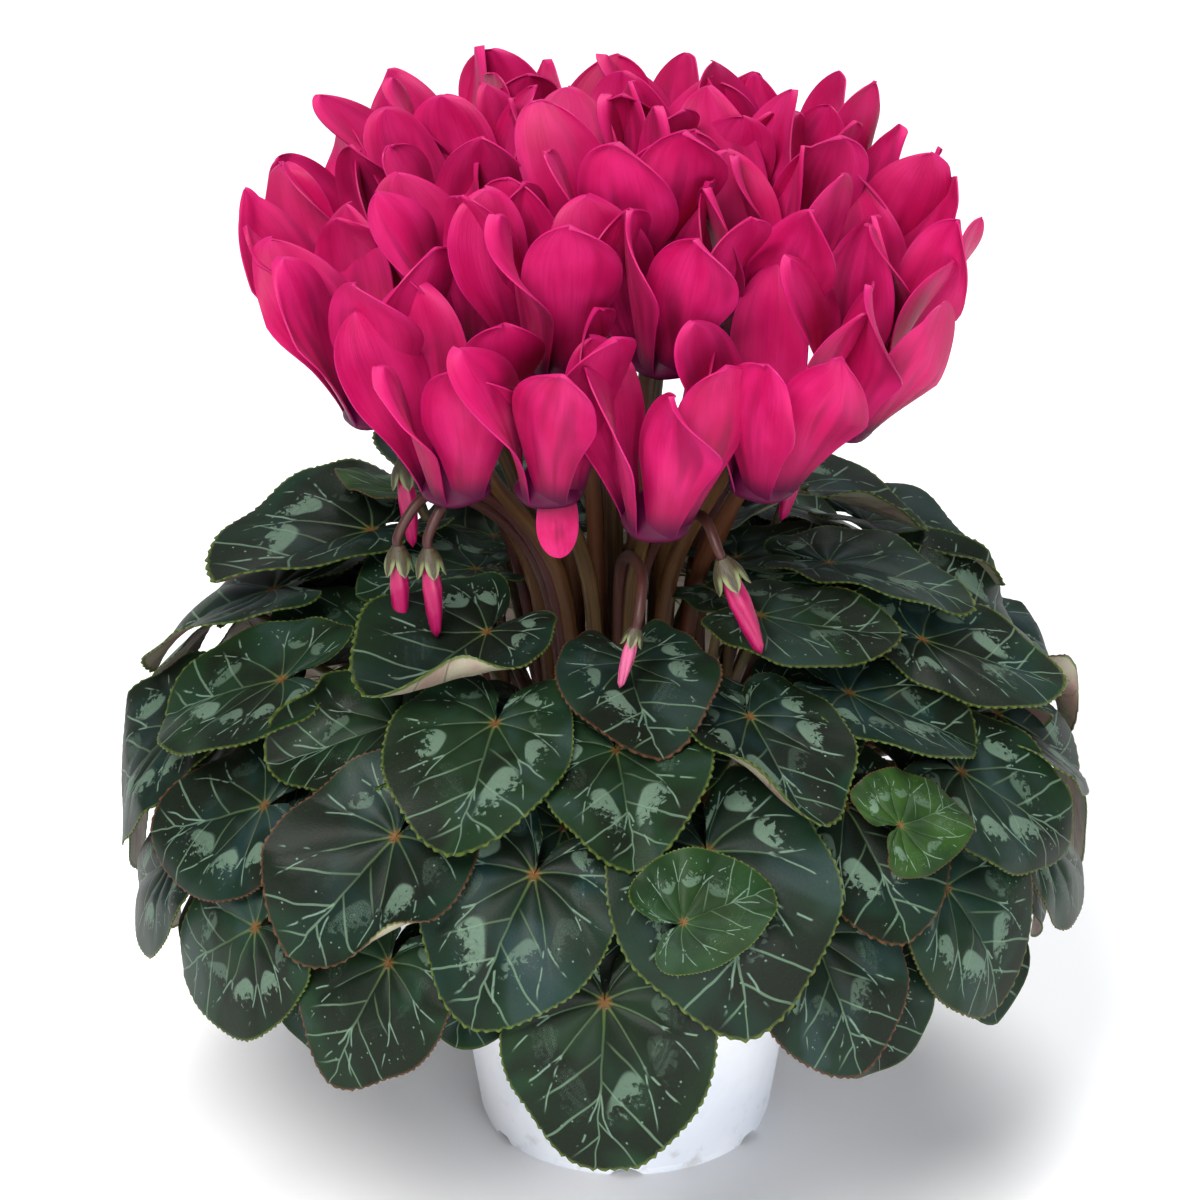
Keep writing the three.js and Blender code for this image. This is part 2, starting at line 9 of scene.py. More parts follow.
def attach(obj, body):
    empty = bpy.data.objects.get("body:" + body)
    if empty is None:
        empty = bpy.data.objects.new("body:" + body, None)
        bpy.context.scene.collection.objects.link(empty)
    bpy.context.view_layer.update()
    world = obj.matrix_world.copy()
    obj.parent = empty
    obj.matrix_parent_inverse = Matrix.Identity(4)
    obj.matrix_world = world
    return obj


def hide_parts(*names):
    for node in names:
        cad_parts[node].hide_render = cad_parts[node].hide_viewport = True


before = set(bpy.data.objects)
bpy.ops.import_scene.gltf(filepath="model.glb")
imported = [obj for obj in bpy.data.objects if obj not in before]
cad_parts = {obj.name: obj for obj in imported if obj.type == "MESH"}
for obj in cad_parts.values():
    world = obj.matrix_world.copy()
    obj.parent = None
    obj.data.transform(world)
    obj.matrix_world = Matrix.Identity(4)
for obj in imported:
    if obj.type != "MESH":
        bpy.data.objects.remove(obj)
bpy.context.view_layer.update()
mm = 0.001


# Small tools for meshes

def makeActive(piece):
    bpy.ops.object.select_all(action="DESELECT")
    piece.select_set(True)
    bpy.context.view_layer.objects.active = piece


def startShape(name, operator, **sizes):
    bpy.ops.object.select_all(action="DESELECT")
    operator(**sizes)
    piece = bpy.context.object
    piece.name = piece.data.name = name
    return piece


def startGrid(name, across, upward):
    return startShape(
        name, bpy.ops.mesh.primitive_grid_add, x_subdivisions=across, y_subdivisions=upward, size=2)


def copyOf(master, name):
    piece = master.copy()
    piece.data = master.data.copy()
    piece.name = name
    bpy.context.collection.objects.link(piece)
    return piece


def applyModifiers(piece):
    makeActive(piece)
    for modifier in list(piece.modifiers):
        bpy.ops.object.modifier_apply(modifier=modifier.name)


def joinAll(pieces, name, sharpAngle):
    makeActive(pieces[0])
    for piece in pieces:
        piece.select_set(True)
    bpy.ops.object.join()
    whole = bpy.context.object
    whole.name = whole.data.name = name
    bpy.ops.object.shade_smooth_by_angle(angle=math.radians(sharpAngle))
    return whole


def inEditMode(piece, *steps):
    makeActive(piece)
    bpy.ops.object.mode_set(mode="EDIT")
    bpy.ops.mesh.select_all(action="SELECT")
    for step in steps:
        step()
    bpy.ops.object.mode_set(mode="OBJECT")


def pointsOf(piece):
    points = np.zeros(len(piece.data.vertices) * 3)
    piece.data.vertices.foreach_get("co", points)
    return points.reshape(-1, 3)


def movePoints(piece, points):
    piece.data.vertices.foreach_set("co", np.asarray(points, dtype=float).ravel())
    piece.data.update()


# One number or one place kept at each point, for the shaping and the materials to read
def write(piece, name, *columns):
    count = len(piece.data.vertices)
    values = np.stack([np.broadcast_to(column, count) for column in columns], axis=-1)
    kind, field = ("FLOAT", "value") if len(columns) == 1 else ("FLOAT_VECTOR", "vector")
    attribute = piece.data.attributes.new(name, kind, "POINT")
    attribute.data.foreach_set(field, values.astype(float).ravel())


def readNumbers(piece, name):
    values = np.zeros(len(piece.data.vertices))
    piece.data.attributes[name].data.foreach_get("value", values)
    return values


def thicken(piece, thickness, backSlot=0):
    wall = piece.modifiers.new("wall", "SOLIDIFY")
    wall.thickness = thickness * mm
    wall.offset = 0
    wall.material_offset = backSlot
    applyModifiers(piece)


def hand(piece, node):
    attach(piece, "root")
    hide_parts(node)


# The same even scatter as the solids, between -1 and 1
def scatter(index, salt):
    wave = math.sin(index * 12.9898 + salt * 78.233) * 43758.5453
    return 2 * (wave - math.floor(wave)) - 1


# A round bar of unit height along Z, in rings, that every stem and tube is a copy of
def makeRoundBar(name, sides, rings):
    bar = startShape(name, bpy.ops.mesh.primitive_circle_add, vertices=sides, radius=1, fill_type="NGON")
    stepUp = {"value": (0, 0, 1 / rings)}
    inEditMode(bar, *[lambda: bpy.ops.mesh.extrude_region_move(TRANSFORM_OT_translate=stepUp)] * rings)
    spots = pointsOf(bar)
    write(bar, "ringNumber", np.round(spots[:, 2] * rings))
    write(bar, "roundAngle", np.arctan2(spots[:, 1], spots[:, 0]))
    return bar


# A shape turned about Z from rows of radius and height, drawn out ring by ring
def makeTurned(name, rows, sides):
    radius, height = rows[0]
    piece = startShape(
        name, bpy.ops.mesh.primitive_circle_add,
        vertices=sides, radius=radius * mm, fill_type="NGON", location=(0, 0, height * mm))
    bpy.ops.object.transform_apply()
    bpy.ops.object.mode_set(mode="EDIT")
    bpy.ops.mesh.select_all(action="SELECT")
    for (oldRadius, oldHeight), (newRadius, newHeight) in zip(rows, rows[1:]):
        rise = {"value": (0, 0, (newHeight - oldHeight) * mm)}
        bpy.ops.mesh.extrude_region_move(TRANSFORM_OT_translate=rise)
        widen = newRadius / oldRadius
        bpy.ops.transform.resize(value=(widen, widen, 1), center_override=(0, 0, newHeight * mm))
    bpy.ops.object.mode_set(mode="OBJECT")
    return piece


# A smooth path through points, sampled evenly by their number: each stretch is blended from its four
# nearest points, pair by pair
def smoothPath(points, count):
    points = np.asarray(points, dtype=float)
    points = np.vstack([2 * points[0] - points[1], points, 2 * points[-1] - points[-2]])
    blends = [[(0, 1), (1, 2), (2, 3)], [(0, 2), (1, 3)], [(1, 2)]]
    path = []
    for sample in np.linspace(0, len(points) - 3, count):
        start = min(int(sample), len(points) - 4)
        held = points[start:start + 4]
        strides = np.maximum(np.linalg.norm(np.diff(held, axis=0), axis=1), 1e-6) ** 0.5
        times = [0, *np.cumsum(strides)]
        time = times[1] + (sample - start) * (times[2] - times[1])
        for pairs in blends:
            held = [
                near + (far - near) * (time - times[first]) / (times[last] - times[first])
                for near, far, (first, last) in zip(held, held[1:], pairs)
            ]
        path.append(held[0])
    return np.array(path)


# A copy of a round bar laid along a path, with its own radius at each ring
def layBar(master, name, path, radii, seed):
    bar = copyOf(master, name)
    ring = readNumbers(bar, "ringNumber").astype(int)
    angle = readNumbers(bar, "roundAngle")
    forward = np.gradient(path, axis=0)
    forward /= np.linalg.norm(forward, axis=1)[:, None]
    across = np.zeros_like(path)
    carried = np.array([0.31, 0.95, 0.0])  # any start that no path runs along
    for step, direction in enumerate(forward):
        carried = carried - direction * carried.dot(direction)
        carried /= np.linalg.norm(carried)
        across[step] = carried
    beside = np.cross(forward, across)
    outward = np.cos(angle)[:, None] * across[ring] + np.sin(angle)[:, None] * beside[ring]
    movePoints(bar, (path[ring] + np.asarray(radii)[ring][:, None] * outward) * mm)
    write(bar, "barPlace", ring / (len(path) - 1), angle, seed)
    return bar


# Small tools for materials. A colour is given as it shows on a screen, 0 to 255.

def paint(red, green, blue):
    shares = [channel / 255 for channel in (red, green, blue)]
    linear = [
        share / 12.92 if share <= 0.04045 else ((share + 0.055) / 1.055) ** 2.4
        for share in shares
    ]
    return (*linear, 1.0)


def newMaterial(name, **sockets):
    material = bpy.data.materials.new(name)
    material.use_nodes = True
    shader = material.node_tree.nodes["Principled BSDF"]
    for socket, value in sockets.items():
        shader.inputs[socket.replace("_", " ")].default_value = value
    material.diffuse_color = sockets["Base_Color"]
    return material, material.node_tree, shader


# A new node, with its values by the number or name of their sockets
def addNode(tree, kind, values, output=0, **settings):
    node = tree.nodes.new("ShaderNode" + kind)
    for name, value in settings.items():
        setattr(node, name, value)
    for key, value in values.items():
        if isinstance(value, Flow):
            tree.links.new(value.socket, node.inputs[key])
        else:
            node.inputs[key].default_value = value
    return Flow(tree, node.outputs[output])


# What flows out of a node, so that a pattern is written as plain arithmetic
class Flow:
    def __init__(self, tree, socket):
        self.tree = tree
        self.socket = socket

    def maths(self, operation, *others):
        return addNode(self.tree, "Math", dict(enumerate((self, *others))), operation=operation)

    __add__ = partialmethod(maths, "ADD")
    __sub__ = partialmethod(maths, "SUBTRACT")
    __mul__ = partialmethod(maths, "MULTIPLY")
    __truediv__ = partialmethod(maths, "DIVIDE")
    __pow__ = partialmethod(maths, "POWER")
    __abs__ = partialmethod(maths, "ABSOLUTE")
    orMore = partialmethod(maths, "MAXIMUM")

    def __rsub__(self, other):
        return addNode(self.tree, "Math", {0: other, 1: self}, operation="SUBTRACT")

    def offWhole(self):
        return abs(self - self.maths("ROUND"))

    def fade(self, low, high, start=0.0, end=1.0):
        values = dict(enumerate((self, low, high, start, end)))
        return addNode(self.tree, "MapRange", values, interpolation_type="SMOOTHSTEP")

    def fadeOut(self, low, high):
        return self.fade(low, high, 1, 0)

    def tint(self, first, second):
        return addNode(self.tree, "Mix", {0: self, 6: first, 7: second}, 2, data_type="RGBA")

    def grain(self, scale, detail=2.0, distortion=0.0):
        values = {"Vector": self, "Scale": scale, "Detail": detail, "Distortion": distortion}
        return addNode(self.tree, "TexNoise", values)

    def cells(self, scale, feature="F1"):
        return addNode(self.tree, "TexVoronoi", {"Vector": self, "Scale": scale}, feature=feature)

    def parts(self):
        node = addNode(self.tree, "SeparateXYZ", {0: self}).socket.node
        return [Flow(self.tree, socket) for socket in node.outputs]

    def into(self, shader, socketName):
        self.tree.links.new(self.socket, shader.inputs[socketName])

    def emboss(self, shader, strength, depth):
        values = {"Height": self, "Strength": strength, "Distance": depth * mm}
        addNode(self.tree, "Bump", values).into(shader, "Normal")


def placeOf(x, y, z):
    return addNode(x.tree, "CombineXYZ", {0: x, 1: y, 2: z})


def written(tree, name, output="Vector"):
    return addNode(tree, "Attribute", {}, output, attribute_name=name)


def objectPlace(tree):
    return addNode(tree, "TexCoord", {}, "Object")


# One colour with others laid over it, each by its own share. A colour is the name of a paint or flows
# out of a node.
def layered(paints, base, *coats):
    colour = paints.get(base, base)
    for share, coat in coats:
        colour = share.tint(colour, paints.get(coat, coat))
    return colour


# Camera: level with the photo's view from the front and above, no shift
cameraSettings = {
    "target": (-8, 0, 174),
    "distance": 1600,
    "elevation": 25,
    "focalLength": 160,
    "sensor": 36,
}


def placeCamera(settings):
    lift = math.radians(settings["elevation"])
    targetX, targetY, targetZ = settings["target"]
    spot = Vector((
        targetX,
        targetY - settings["distance"] * math.cos(lift),
        targetZ + settings["distance"] * math.sin(lift),
    )) * mm
    bpy.ops.object.camera_add(location=spot, rotation=(math.pi / 2 - lift, 0, 0))
    camera = bpy.context.object
    camera.data.lens = settings["focalLength"]
    camera.data.sensor_width = settings["sensor"]
    bpy.context.scene.camera = camera


placeCamera(cameraSettings)
print("camera placed")

# The pot: thin bluish-white plastic, with a collar, a stepped-in foot and arched notches
potSettings = {
    "height": 104,
    "rimRadius": 60,
    "baseRadius": 45,
    "wall": 1.8,
    "collarHeight": 13,
    "collarStep": 1.6,
    "footHeight": 3,
    "footStep": 1,
    "notchCount": 6,
    "notchRadius": 7,
    "drainRadius": 4,
    "drainRing": 28,
    "drainHeight": 5,
    "hubRadius": 16,
    "sides": 128,
    "cutterSides": 48,
    "cutterDepth": 8,
    "sharpAngle": 32,
    "shell": paint(248, 250, 255),
    "shade": paint(234, 239, 249),
    "dust": paint(190, 188, 180),
}


def potMaterial(settings):
    material, tree, shader = newMaterial(
        "whitePotPlastic",
        Base_Color=settings["shell"],
        Roughness=0.42,
        Subsurface_Weight=0.12,
        Subsurface_Scale=0.004,
        Subsurface_Radius=(1.0, 1.0, 1.0),
        Coat_Weight=0.12,
        Coat_Roughness=0.3,
    )
    place = objectPlace(tree)
    mottle = place.grain(30, 3)
    plastic = mottle.fade(0.35, 0.7).tint(settings["shell"], settings["shade"])
    nearFoot = place.parts()[2].fade(0.0, 0.03, 0.6, 0.05)
    dusty = place.grain(160, 4).fade(0.55, 0.75) * nearFoot
    dusty.tint(plastic, settings["dust"]).into(shader, "Base Color")
    mottle.fade(0.3, 0.7, 0.36, 0.5).into(shader, "Roughness")
    place.grain(900).emboss(shader, 0.15, 0.08)
    return material


def makePot(settings):
    foot = settings["footHeight"]
    base = settings["baseRadius"]
    wall = settings["wall"]
    rim = settings["rimRadius"]
    top = settings["height"]
    collarFoot = top - settings["collarHeight"]
    slope = (rim - settings["collarStep"] - base) / (collarFoot - foot)
    body = base + slope * (collarFoot - foot)
    inset = base - settings["footStep"]
    rows = [
        (settings["hubRadius"], 0),
        (settings["hubRadius"] + 1, foot),
        (inset - 4, foot),
        (inset - 3, 0.4),
        (inset - 2.6, 0),
        (inset - 0.4, 0),
        (inset, 0.4),
        (inset, foot - 0.6),
        (base - 0.3, foot - 0.2),
        (base + 0.1, foot + 0.6),
        (body, collarFoot - 0.4),
        (body + 0.3, collarFoot),
        (rim - 0.3, collarFoot + 0.2),
        (rim, collarFoot + 0.8),
        (rim + 0.8, top - 0.7),
        (rim + 0.4, top - 0.1),
        (rim - 0.6, top),
        (rim + 0.9 - wall, top - 0.5),
        (body - wall, collarFoot),
        (base - wall, foot + wall + 1.4),
        (base - wall - 2, foot + wall),
        (5, foot + wall),
    ]
    pot = makeTurned("potShell", rows, settings["sides"])
    notchHeight = foot - 0.6 - settings["notchRadius"]
    for index in range(settings["notchCount"]):
        around = 2 * math.pi * (index + 0.5) / settings["notchCount"]
        outward = Vector((math.cos(around), math.sin(around), 0))
        cutters = [
            (settings["notchRadius"], base - 3, notchHeight, math.pi / 2),
            (settings["drainRadius"], settings["drainRing"], settings["drainHeight"], 0),
        ]
        for radius, reach, height, lean in cutters:
            spot = outward * reach
            cutter = startShape(
                "potCutter",
                bpy.ops.mesh.primitive_cylinder_add,
                vertices=settings["cutterSides"],
                radius=radius * mm,
                depth=settings["cutterDepth"] * mm,
                location=(spot.x * mm, spot.y * mm, height * mm),
                rotation=(0, lean, around),
            )
            hole = pot.modifiers.new("hole", "BOOLEAN")
            hole.object = cutter
            hole.solver = "EXACT"
            applyModifiers(pot)
            bpy.data.objects.remove(cutter)
    makeActive(pot)
    bpy.ops.object.shade_smooth_by_angle(angle=math.radians(settings["sharpAngle"]))
    pot.data.materials.append(potMaterial(settings))
    hand(pot, "pot")


makePot(potSettings)
print("pot done")

# The potting mix: a crumbly bed with bits of bark lying on it
mixSettings = {
    "top": 94,
    "radius": 55.2,
    "footRadius": 41,
    "floor": 7,
    "rings": 26,
    "sides": 96,
    "roughness": 1.5,
    "crumbs": 260,
    "crumbReach": 52,
    "sharpAngle": 50,
    "peat": paint(46, 33, 26),
    "dry": paint(78, 60, 46),
    "grit": paint(176, 166, 150),
}


def mixMaterial(settings):
    material, tree, shader = newMaterial("pottingMix", Base_Color=settings["peat"], Roughness=0.95)
    place = objectPlace(tree)
    crumbly = place.grain(260, 6)
    brown = crumbly.fade(0.35, 0.7).tint(settings["peat"], settings["dry"])
    speck = place.cells(420).fadeOut(0.0, 0.16) * place.grain(90).fade(0.56, 0.62)
    speck.tint(brown, settings["grit"]).into(shader, "Base Color")
    crumbly.emboss(shader, 0.9, 1.2)
    return material


def makeCrumb(master, index, settings):
    reach = settings["crumbReach"] * math.sqrt(0.5 + 0.5 * scatter(index, 31))
    around = math.pi * scatter(index, 32)
    size = 1.0 + 0.7 * scatter(index, 33)
    centre = np.array([reach * math.cos(around), reach * math.sin(around), settings["top"] + 0.3 * size])
    x, y, z = (pointsOf(master) * [size * (1.3 + 0.5 * scatter(index, 34)), size, 0.6 * size]).T
    turn = math.pi * scatter(index, 35)
    turned = np.stack((
        x * math.cos(turn) - y * math.sin(turn),
        x * math.sin(turn) + y * math.cos(turn),
        z,
    ), axis=-1)
    crumb = copyOf(master, "crumbCopy")
    movePoints(crumb, (turned + centre) * mm)
    return crumb


def makeMix(settings):
    top, radius = settings["top"], settings["radius"]
    rows = [(settings["footRadius"], settings["floor"]), (radius, top - 3)]
    rows += [(ringRadius, top) for ringRadius in np.linspace(radius, 2, settings["rings"])]
    bed = makeTurned("pottingBed", rows, settings["sides"])
    spots = pointsOf(bed)
    for spot in spots:
        if spot[2] > (top - 1) * mm:
            edge = max(0.0, 1 - math.hypot(spot[0], spot[1]) / (radius * mm))
            bumpy = noise.noise(Vector(spot) * 130) + 0.5 * noise.noise(Vector(spot) * 420)
            spot[2] += bumpy * settings["roughness"] * mm * min(1, 6 * edge)
    movePoints(bed, spots)
    master = startShape("crumb", bpy.ops.mesh.primitive_ico_sphere_add, subdivisions=1, radius=1)
    pieces = [bed] + [makeCrumb(master, index, settings) for index in range(settings["crumbs"])]
    bpy.data.objects.remove(master)
    bed = joinAll(pieces, "pottingBed", settings["sharpAngle"])
    bed.data.materials.append(mixMaterial(settings))
    hand(bed, "soil")


makeMix(mixSettings)
print("potting mix done")

# The leaf dome and the leaves, in the same places as the solids.
# Each row: azimuth, height on the dome, notch-to-tip length, turn, lift off the dome, fold.
domeSettings = {
    "crownShift": -6,
    "radius": 138,
    "level": 97,
    "rise": 98,
    "drop": 104,
    "slope": 0.29,
    "reachLimit": 145,
}
bladeSettings = {
    "thickness": 0.5,
    "fullness": 0.985,
    "around": 224,
    "outward": 9,
    "hiddenAround": 84,
    "hiddenOutward": 6,
    "teeth": 84,
    "toothDepth": 0.024,
    "toothRise": 0.66,
    "veinStep": 42,
    "veinBend": 0.26,
    "quilting": 1.0,
    "margin": 0.8,
    "middle": 0.3,
    "tuckStart": 0.62,
    "tuckWidth": 0.45,
    "shoulderAngle": 0.5,
    "shoulderWidth": 0.3,
    "shoulderDepth": 0.085,
}
petioleSettings = {
    "radius": 1.5,
    "tipRadius": 0.7,
    "sides": 8,
    "rings": 14,
    "swing": 14,
    "spread": 0.12,
    "stubRadius": 2.6,
    "stubFoot": 84,
    "stubTop": 99,
    "stubSink": 2.5,
    "outerRing": 44,
    "innerRing": 33,
    "sharpAngle": 55,
}
heartAngles = [0, 25, 52, 80, 108, 137, 166]
heartReach = [1, 0.86, 0.71, 0.62, 0.59, 0.56, 0.24]
topLeaves = [
    [-126, 62, 42, 18, 7, 0.05],
    [-83, 60, 38, -12, 5, 0.1],
    [-47, 63, 40, 30, 8, -0.1],
    [-8, 62, 42, 15, 6, 0.05],
    [36, 62, 43, -10, 7, 0.05],
    [82, 62, 42, 12, 6, -0.05],
    [126, 62, 42, -15, 8, 0.05],
    [172, 61, 45, 10, 8, 0.12],
]
upperLeaves = [
    [-156, 44, 42, -25, 6.5, 0.1],
    [-133, 48, 39, -15, 2, 0.08],
    [-110, 49, 43, 8, 6, 0.12],
    [-89, 47, 39, 14, 3, 0.05],
    [-63, 49, 40, -14, 6, 0],
    [-37, 49.5, 43, 5, 0.5, 0.1],
    [-17, 47, 43, 25, 6, 0.04],
    [8, 47, 46, 12, 2.5, 0.05],
    [32, 48, 43, -10, 6, 0.1],
    [56, 48, 45, 10, 1, 0],
    [80, 47, 41, -14, 6, 0.08],
    [105, 49, 44, 12, 1, 0.05],
    [129, 47, 43, -8, 6, 0.1],
    [154, 48, 43, 12, 1, 0],
    [179, 47, 45, -10, 10, 0.06],
]
lowerLeaves = [
    [-169, 26, 43, -22, 6, 0.05],
    [-146, 30, 42, -12, 1, 0],
    [-122, 31, 45, 4, 5, 0.06],
    [-101, 29, 46, -8, 1, 0.1],
    [-77, 31, 52, 8, 5, 0.1],
    [-53, 34, 42, -8, 1, 0],
    [-31, 31, 44, 18, 3, 0.06],
    [-9, 31, 44, 12, 1, 0.05],
    [16, 31, 43, -10, 4.6, 0.08],
    [37, 30, 44, 12, 1, 0],
    [60, 32, 44, -12, 3, 0.05],
    [84, 30, 46, 10, 1, 0.08],
    [108, 32, 43, -10, 5.6, 0],
    [132, 30, 46, 12, 1, 0.05],
    [158, 31, 44, -8, 5, 0.05],
]
hangingLeaves = [
    [-161, 11, 41, -18, 0, 0.05],
    [-139, 13, 43, -10, 4, 0],
    [-118, 12, 40, -6, 1.5, 0.06],
    [-90, 9, 49, -6, -1, 0.15],
    [-62, 16, 41, -12, 0, 0],
    [-43, 17, 42, 10, 3, 0.06],
    [-18, 14, 43, 22, 0, 0.05],
    [6, 14, 43, 8, 1.5, 0],
    [29, 14, 43, -10, 0, 0.06],
    [52, 15, 43, 12, 4, 0],
    [75, 14, 45, -8, 0, 0.05],
    [98, 15, 43, 10, 2, 0.05],
    [121, 14, 43, -12, 0, 0],
    [144, 14, 43, 8, 4, 0.05],
    [-183, 14, 43, -8, 2, 0.06],
]
# Young leaves over the others, each with the number of the top leaf whose stub it shares,
# how green it is and how far it swings round
youngLeaves = [
    [-78, 27, 26, -4, 15, 0.04, 1, 1.15, 112],
    [-51, 31, 24, 35, 16, 0.02, 2, 1.4, 52],
    [158, 66, 26, -30, 15, 0.05, 7, 1.3, -20],
    [46, 26, 23, 0, 16, 0.04, 4, 1.25, -70],
]
# Leaves deep in the dome that close the gaps between the rows
underLength = 38
underLeaves = [
    [azimuth, height, underLength, 14 * scatter(azimuth, 41), lift, 0.05]
    for height, first, last, step, lift in (
        (73, -30, 220, 36, -5),
        (56, -110, 250, 30, -11),
        (38, -121, 239, 24, -11),
        (20, -130, 230, 24, -12),
        (6, -56, 246, 24, -11),
        (12, -119, -100, 24, -8),
    )
    for azimuth in range(first, last, step)
]

# Each row of leaves has its own run of numbers, which the scatter goes by
firstNumber = {"upper": 0, "hanging": 20, "top": 40, "lower": 60, "young": 80, "under": 100}
climbs = {"upper": 22, "hanging": 46, "top": 40, "lower": 58, "young": 60, "under": 30}

# Leaves with a margin rolled over to show the pale underside: where on the margin, and how far it rolls
tuckedLeaves = {
    1: (-0.6, 2.3),
    4: (-0.4, 1.5),
    9: (0.6, 2.2),
    12: (-0.5, 2.0),
    40: (0.55, 2.6),
    46: (0.4, 2.2),
    62: (0.8, 2.1),
    68: (-0.6, 2.2),
}
settledLeaves = {1: 3.5, 67: 2}  # these lie a little lower, clear of a neighbour


def leafFrom(row, kind, place):
    azimuth, height, length, turn, lift, fold = row[:6]
    index = firstNumber[kind] + place

    def vary(salt, middle, spread):
        return middle + spread * scatter(index, salt)

    aside = 26 * math.sin(math.radians(2 * azimuth + 180)) + 20 * scatter(index, 42)
    swing = row[8] if len(row) > 8 else aside * (kind != "under")
    tuckAngle, tuck = tuckedLeaves.get(index, (0, 0))
    return {
        "azimuth": math.radians(azimuth),
        "height": math.radians(height),
        "length": length,
        "turn": math.radians(turn),
        "swing": math.radians(swing),
        "tuckAngle": tuckAngle,
        "tuck": tuck,
        "lift": lift - settledLeaves.get(index, 0),
        "fold": fold,
        "climb": climbs[kind],
        "hidden": kind == "under",
        "droop": vary(1, 0.1, 0.05),
        "wave": vary(2, 2.3, 1.0),
        "waves": 3 + math.floor(vary(3, 0.5, 1)),
        "phase": vary(4, 0, 3),
        "roll": vary(5, 0, 0.15),
        "pointed": vary(31, 0.6, 0.4),
        "lopsided": vary(32, 0, 0.05),
        "curl": vary(33, 1.8, 2.6),
        "curlTurn": vary(34, 0, 3),
        "crease": vary(35, 0.12, 0.14) + 0.16 * (kind == "top"),
        "sickle": vary(39, 0, 0.13),
        "sideFold": 0.5 * max(0, vary(36, 0.2, 1)),
        "foldSide": 1 if vary(37, 0, 1) > 0 else -1,
        "tipCurl": vary(38, 1.5, 4.5),
        "seed": index,
        "tone": row[7] if len(row) > 7 else vary(15, 0.5, 0.5),
    }


def domePoints(height, azimuth, lift):
    radius = domeSettings["radius"]
    rise = np.where(height > 0, domeSettings["rise"], domeSettings["drop"])
    outward = np.cos(height) / radius
    upward = np.sin(height) / rise
    size = np.hypot(outward, upward)
    reach = radius * np.cos(height) + lift * outward / size
    return np.stack((
        domeSettings["crownShift"] + reach * np.cos(azimuth),
        reach * np.sin(azimuth),
        domeSettings["level"] + rise * np.sin(height) + lift * upward / size,
    ), axis=-1)


# Millimetres down the dome for each radian of height
def domeStride(height):
    return math.hypot(domeSettings["radius"] * math.sin(height), domeSettings["rise"] * math.cos(height))


# Tips that would reach past the outline bend back in
def keepInside(spots, limit):
    shift = domeSettings["crownShift"]
    reach = np.hypot(spots[:, 0] - shift, spots[:, 1])
    past = np.maximum(0, reach - limit)
    scale = (reach - 0.7 * past) / np.maximum(reach, 1)
    spots[:, 0] = shift + (spots[:, 0] - shift) * scale
    spots[:, 1] *= scale
    return spots


# Reach of the heart's edge from its notch, as a share of its length, smooth through the listed angles
def heartEdge(angle):
    turns = np.degrees(np.abs(angle))
    first = np.clip(np.searchsorted(heartAngles, turns, side="right") - 1, 0, len(heartAngles) - 2)
    reaches = np.array([heartReach[1], *heartReach, heartReach[-1]])
    share = (turns - np.array(heartAngles)[first]) / np.diff(heartAngles)[first]
    p0, p1, p2, p3 = (reaches[first + step] for step in range(4))
    smooth = 0.5 * (2 * p1 + (p2 - p0) * share + (2 * p0 - 5 * p1 + 4 * p2 - p3) * share ** 2
                    + (3 * p1 - p0 - 3 * p2 + p3) * share ** 3)
    straight = p1 + (p2 - p1) * share
    return np.where(first == 0, 0.45 * smooth + 0.55 * straight, smooth)  # pointed at the tip


# How far a spot lies from its nearest main vein, in vein spacings
def veinGap(angle, share):
    turn = np.degrees(angle) * (1 + bladeSettings["veinBend"] * share) / bladeSettings["veinStep"]
    return np.abs(turn - np.round(turn))


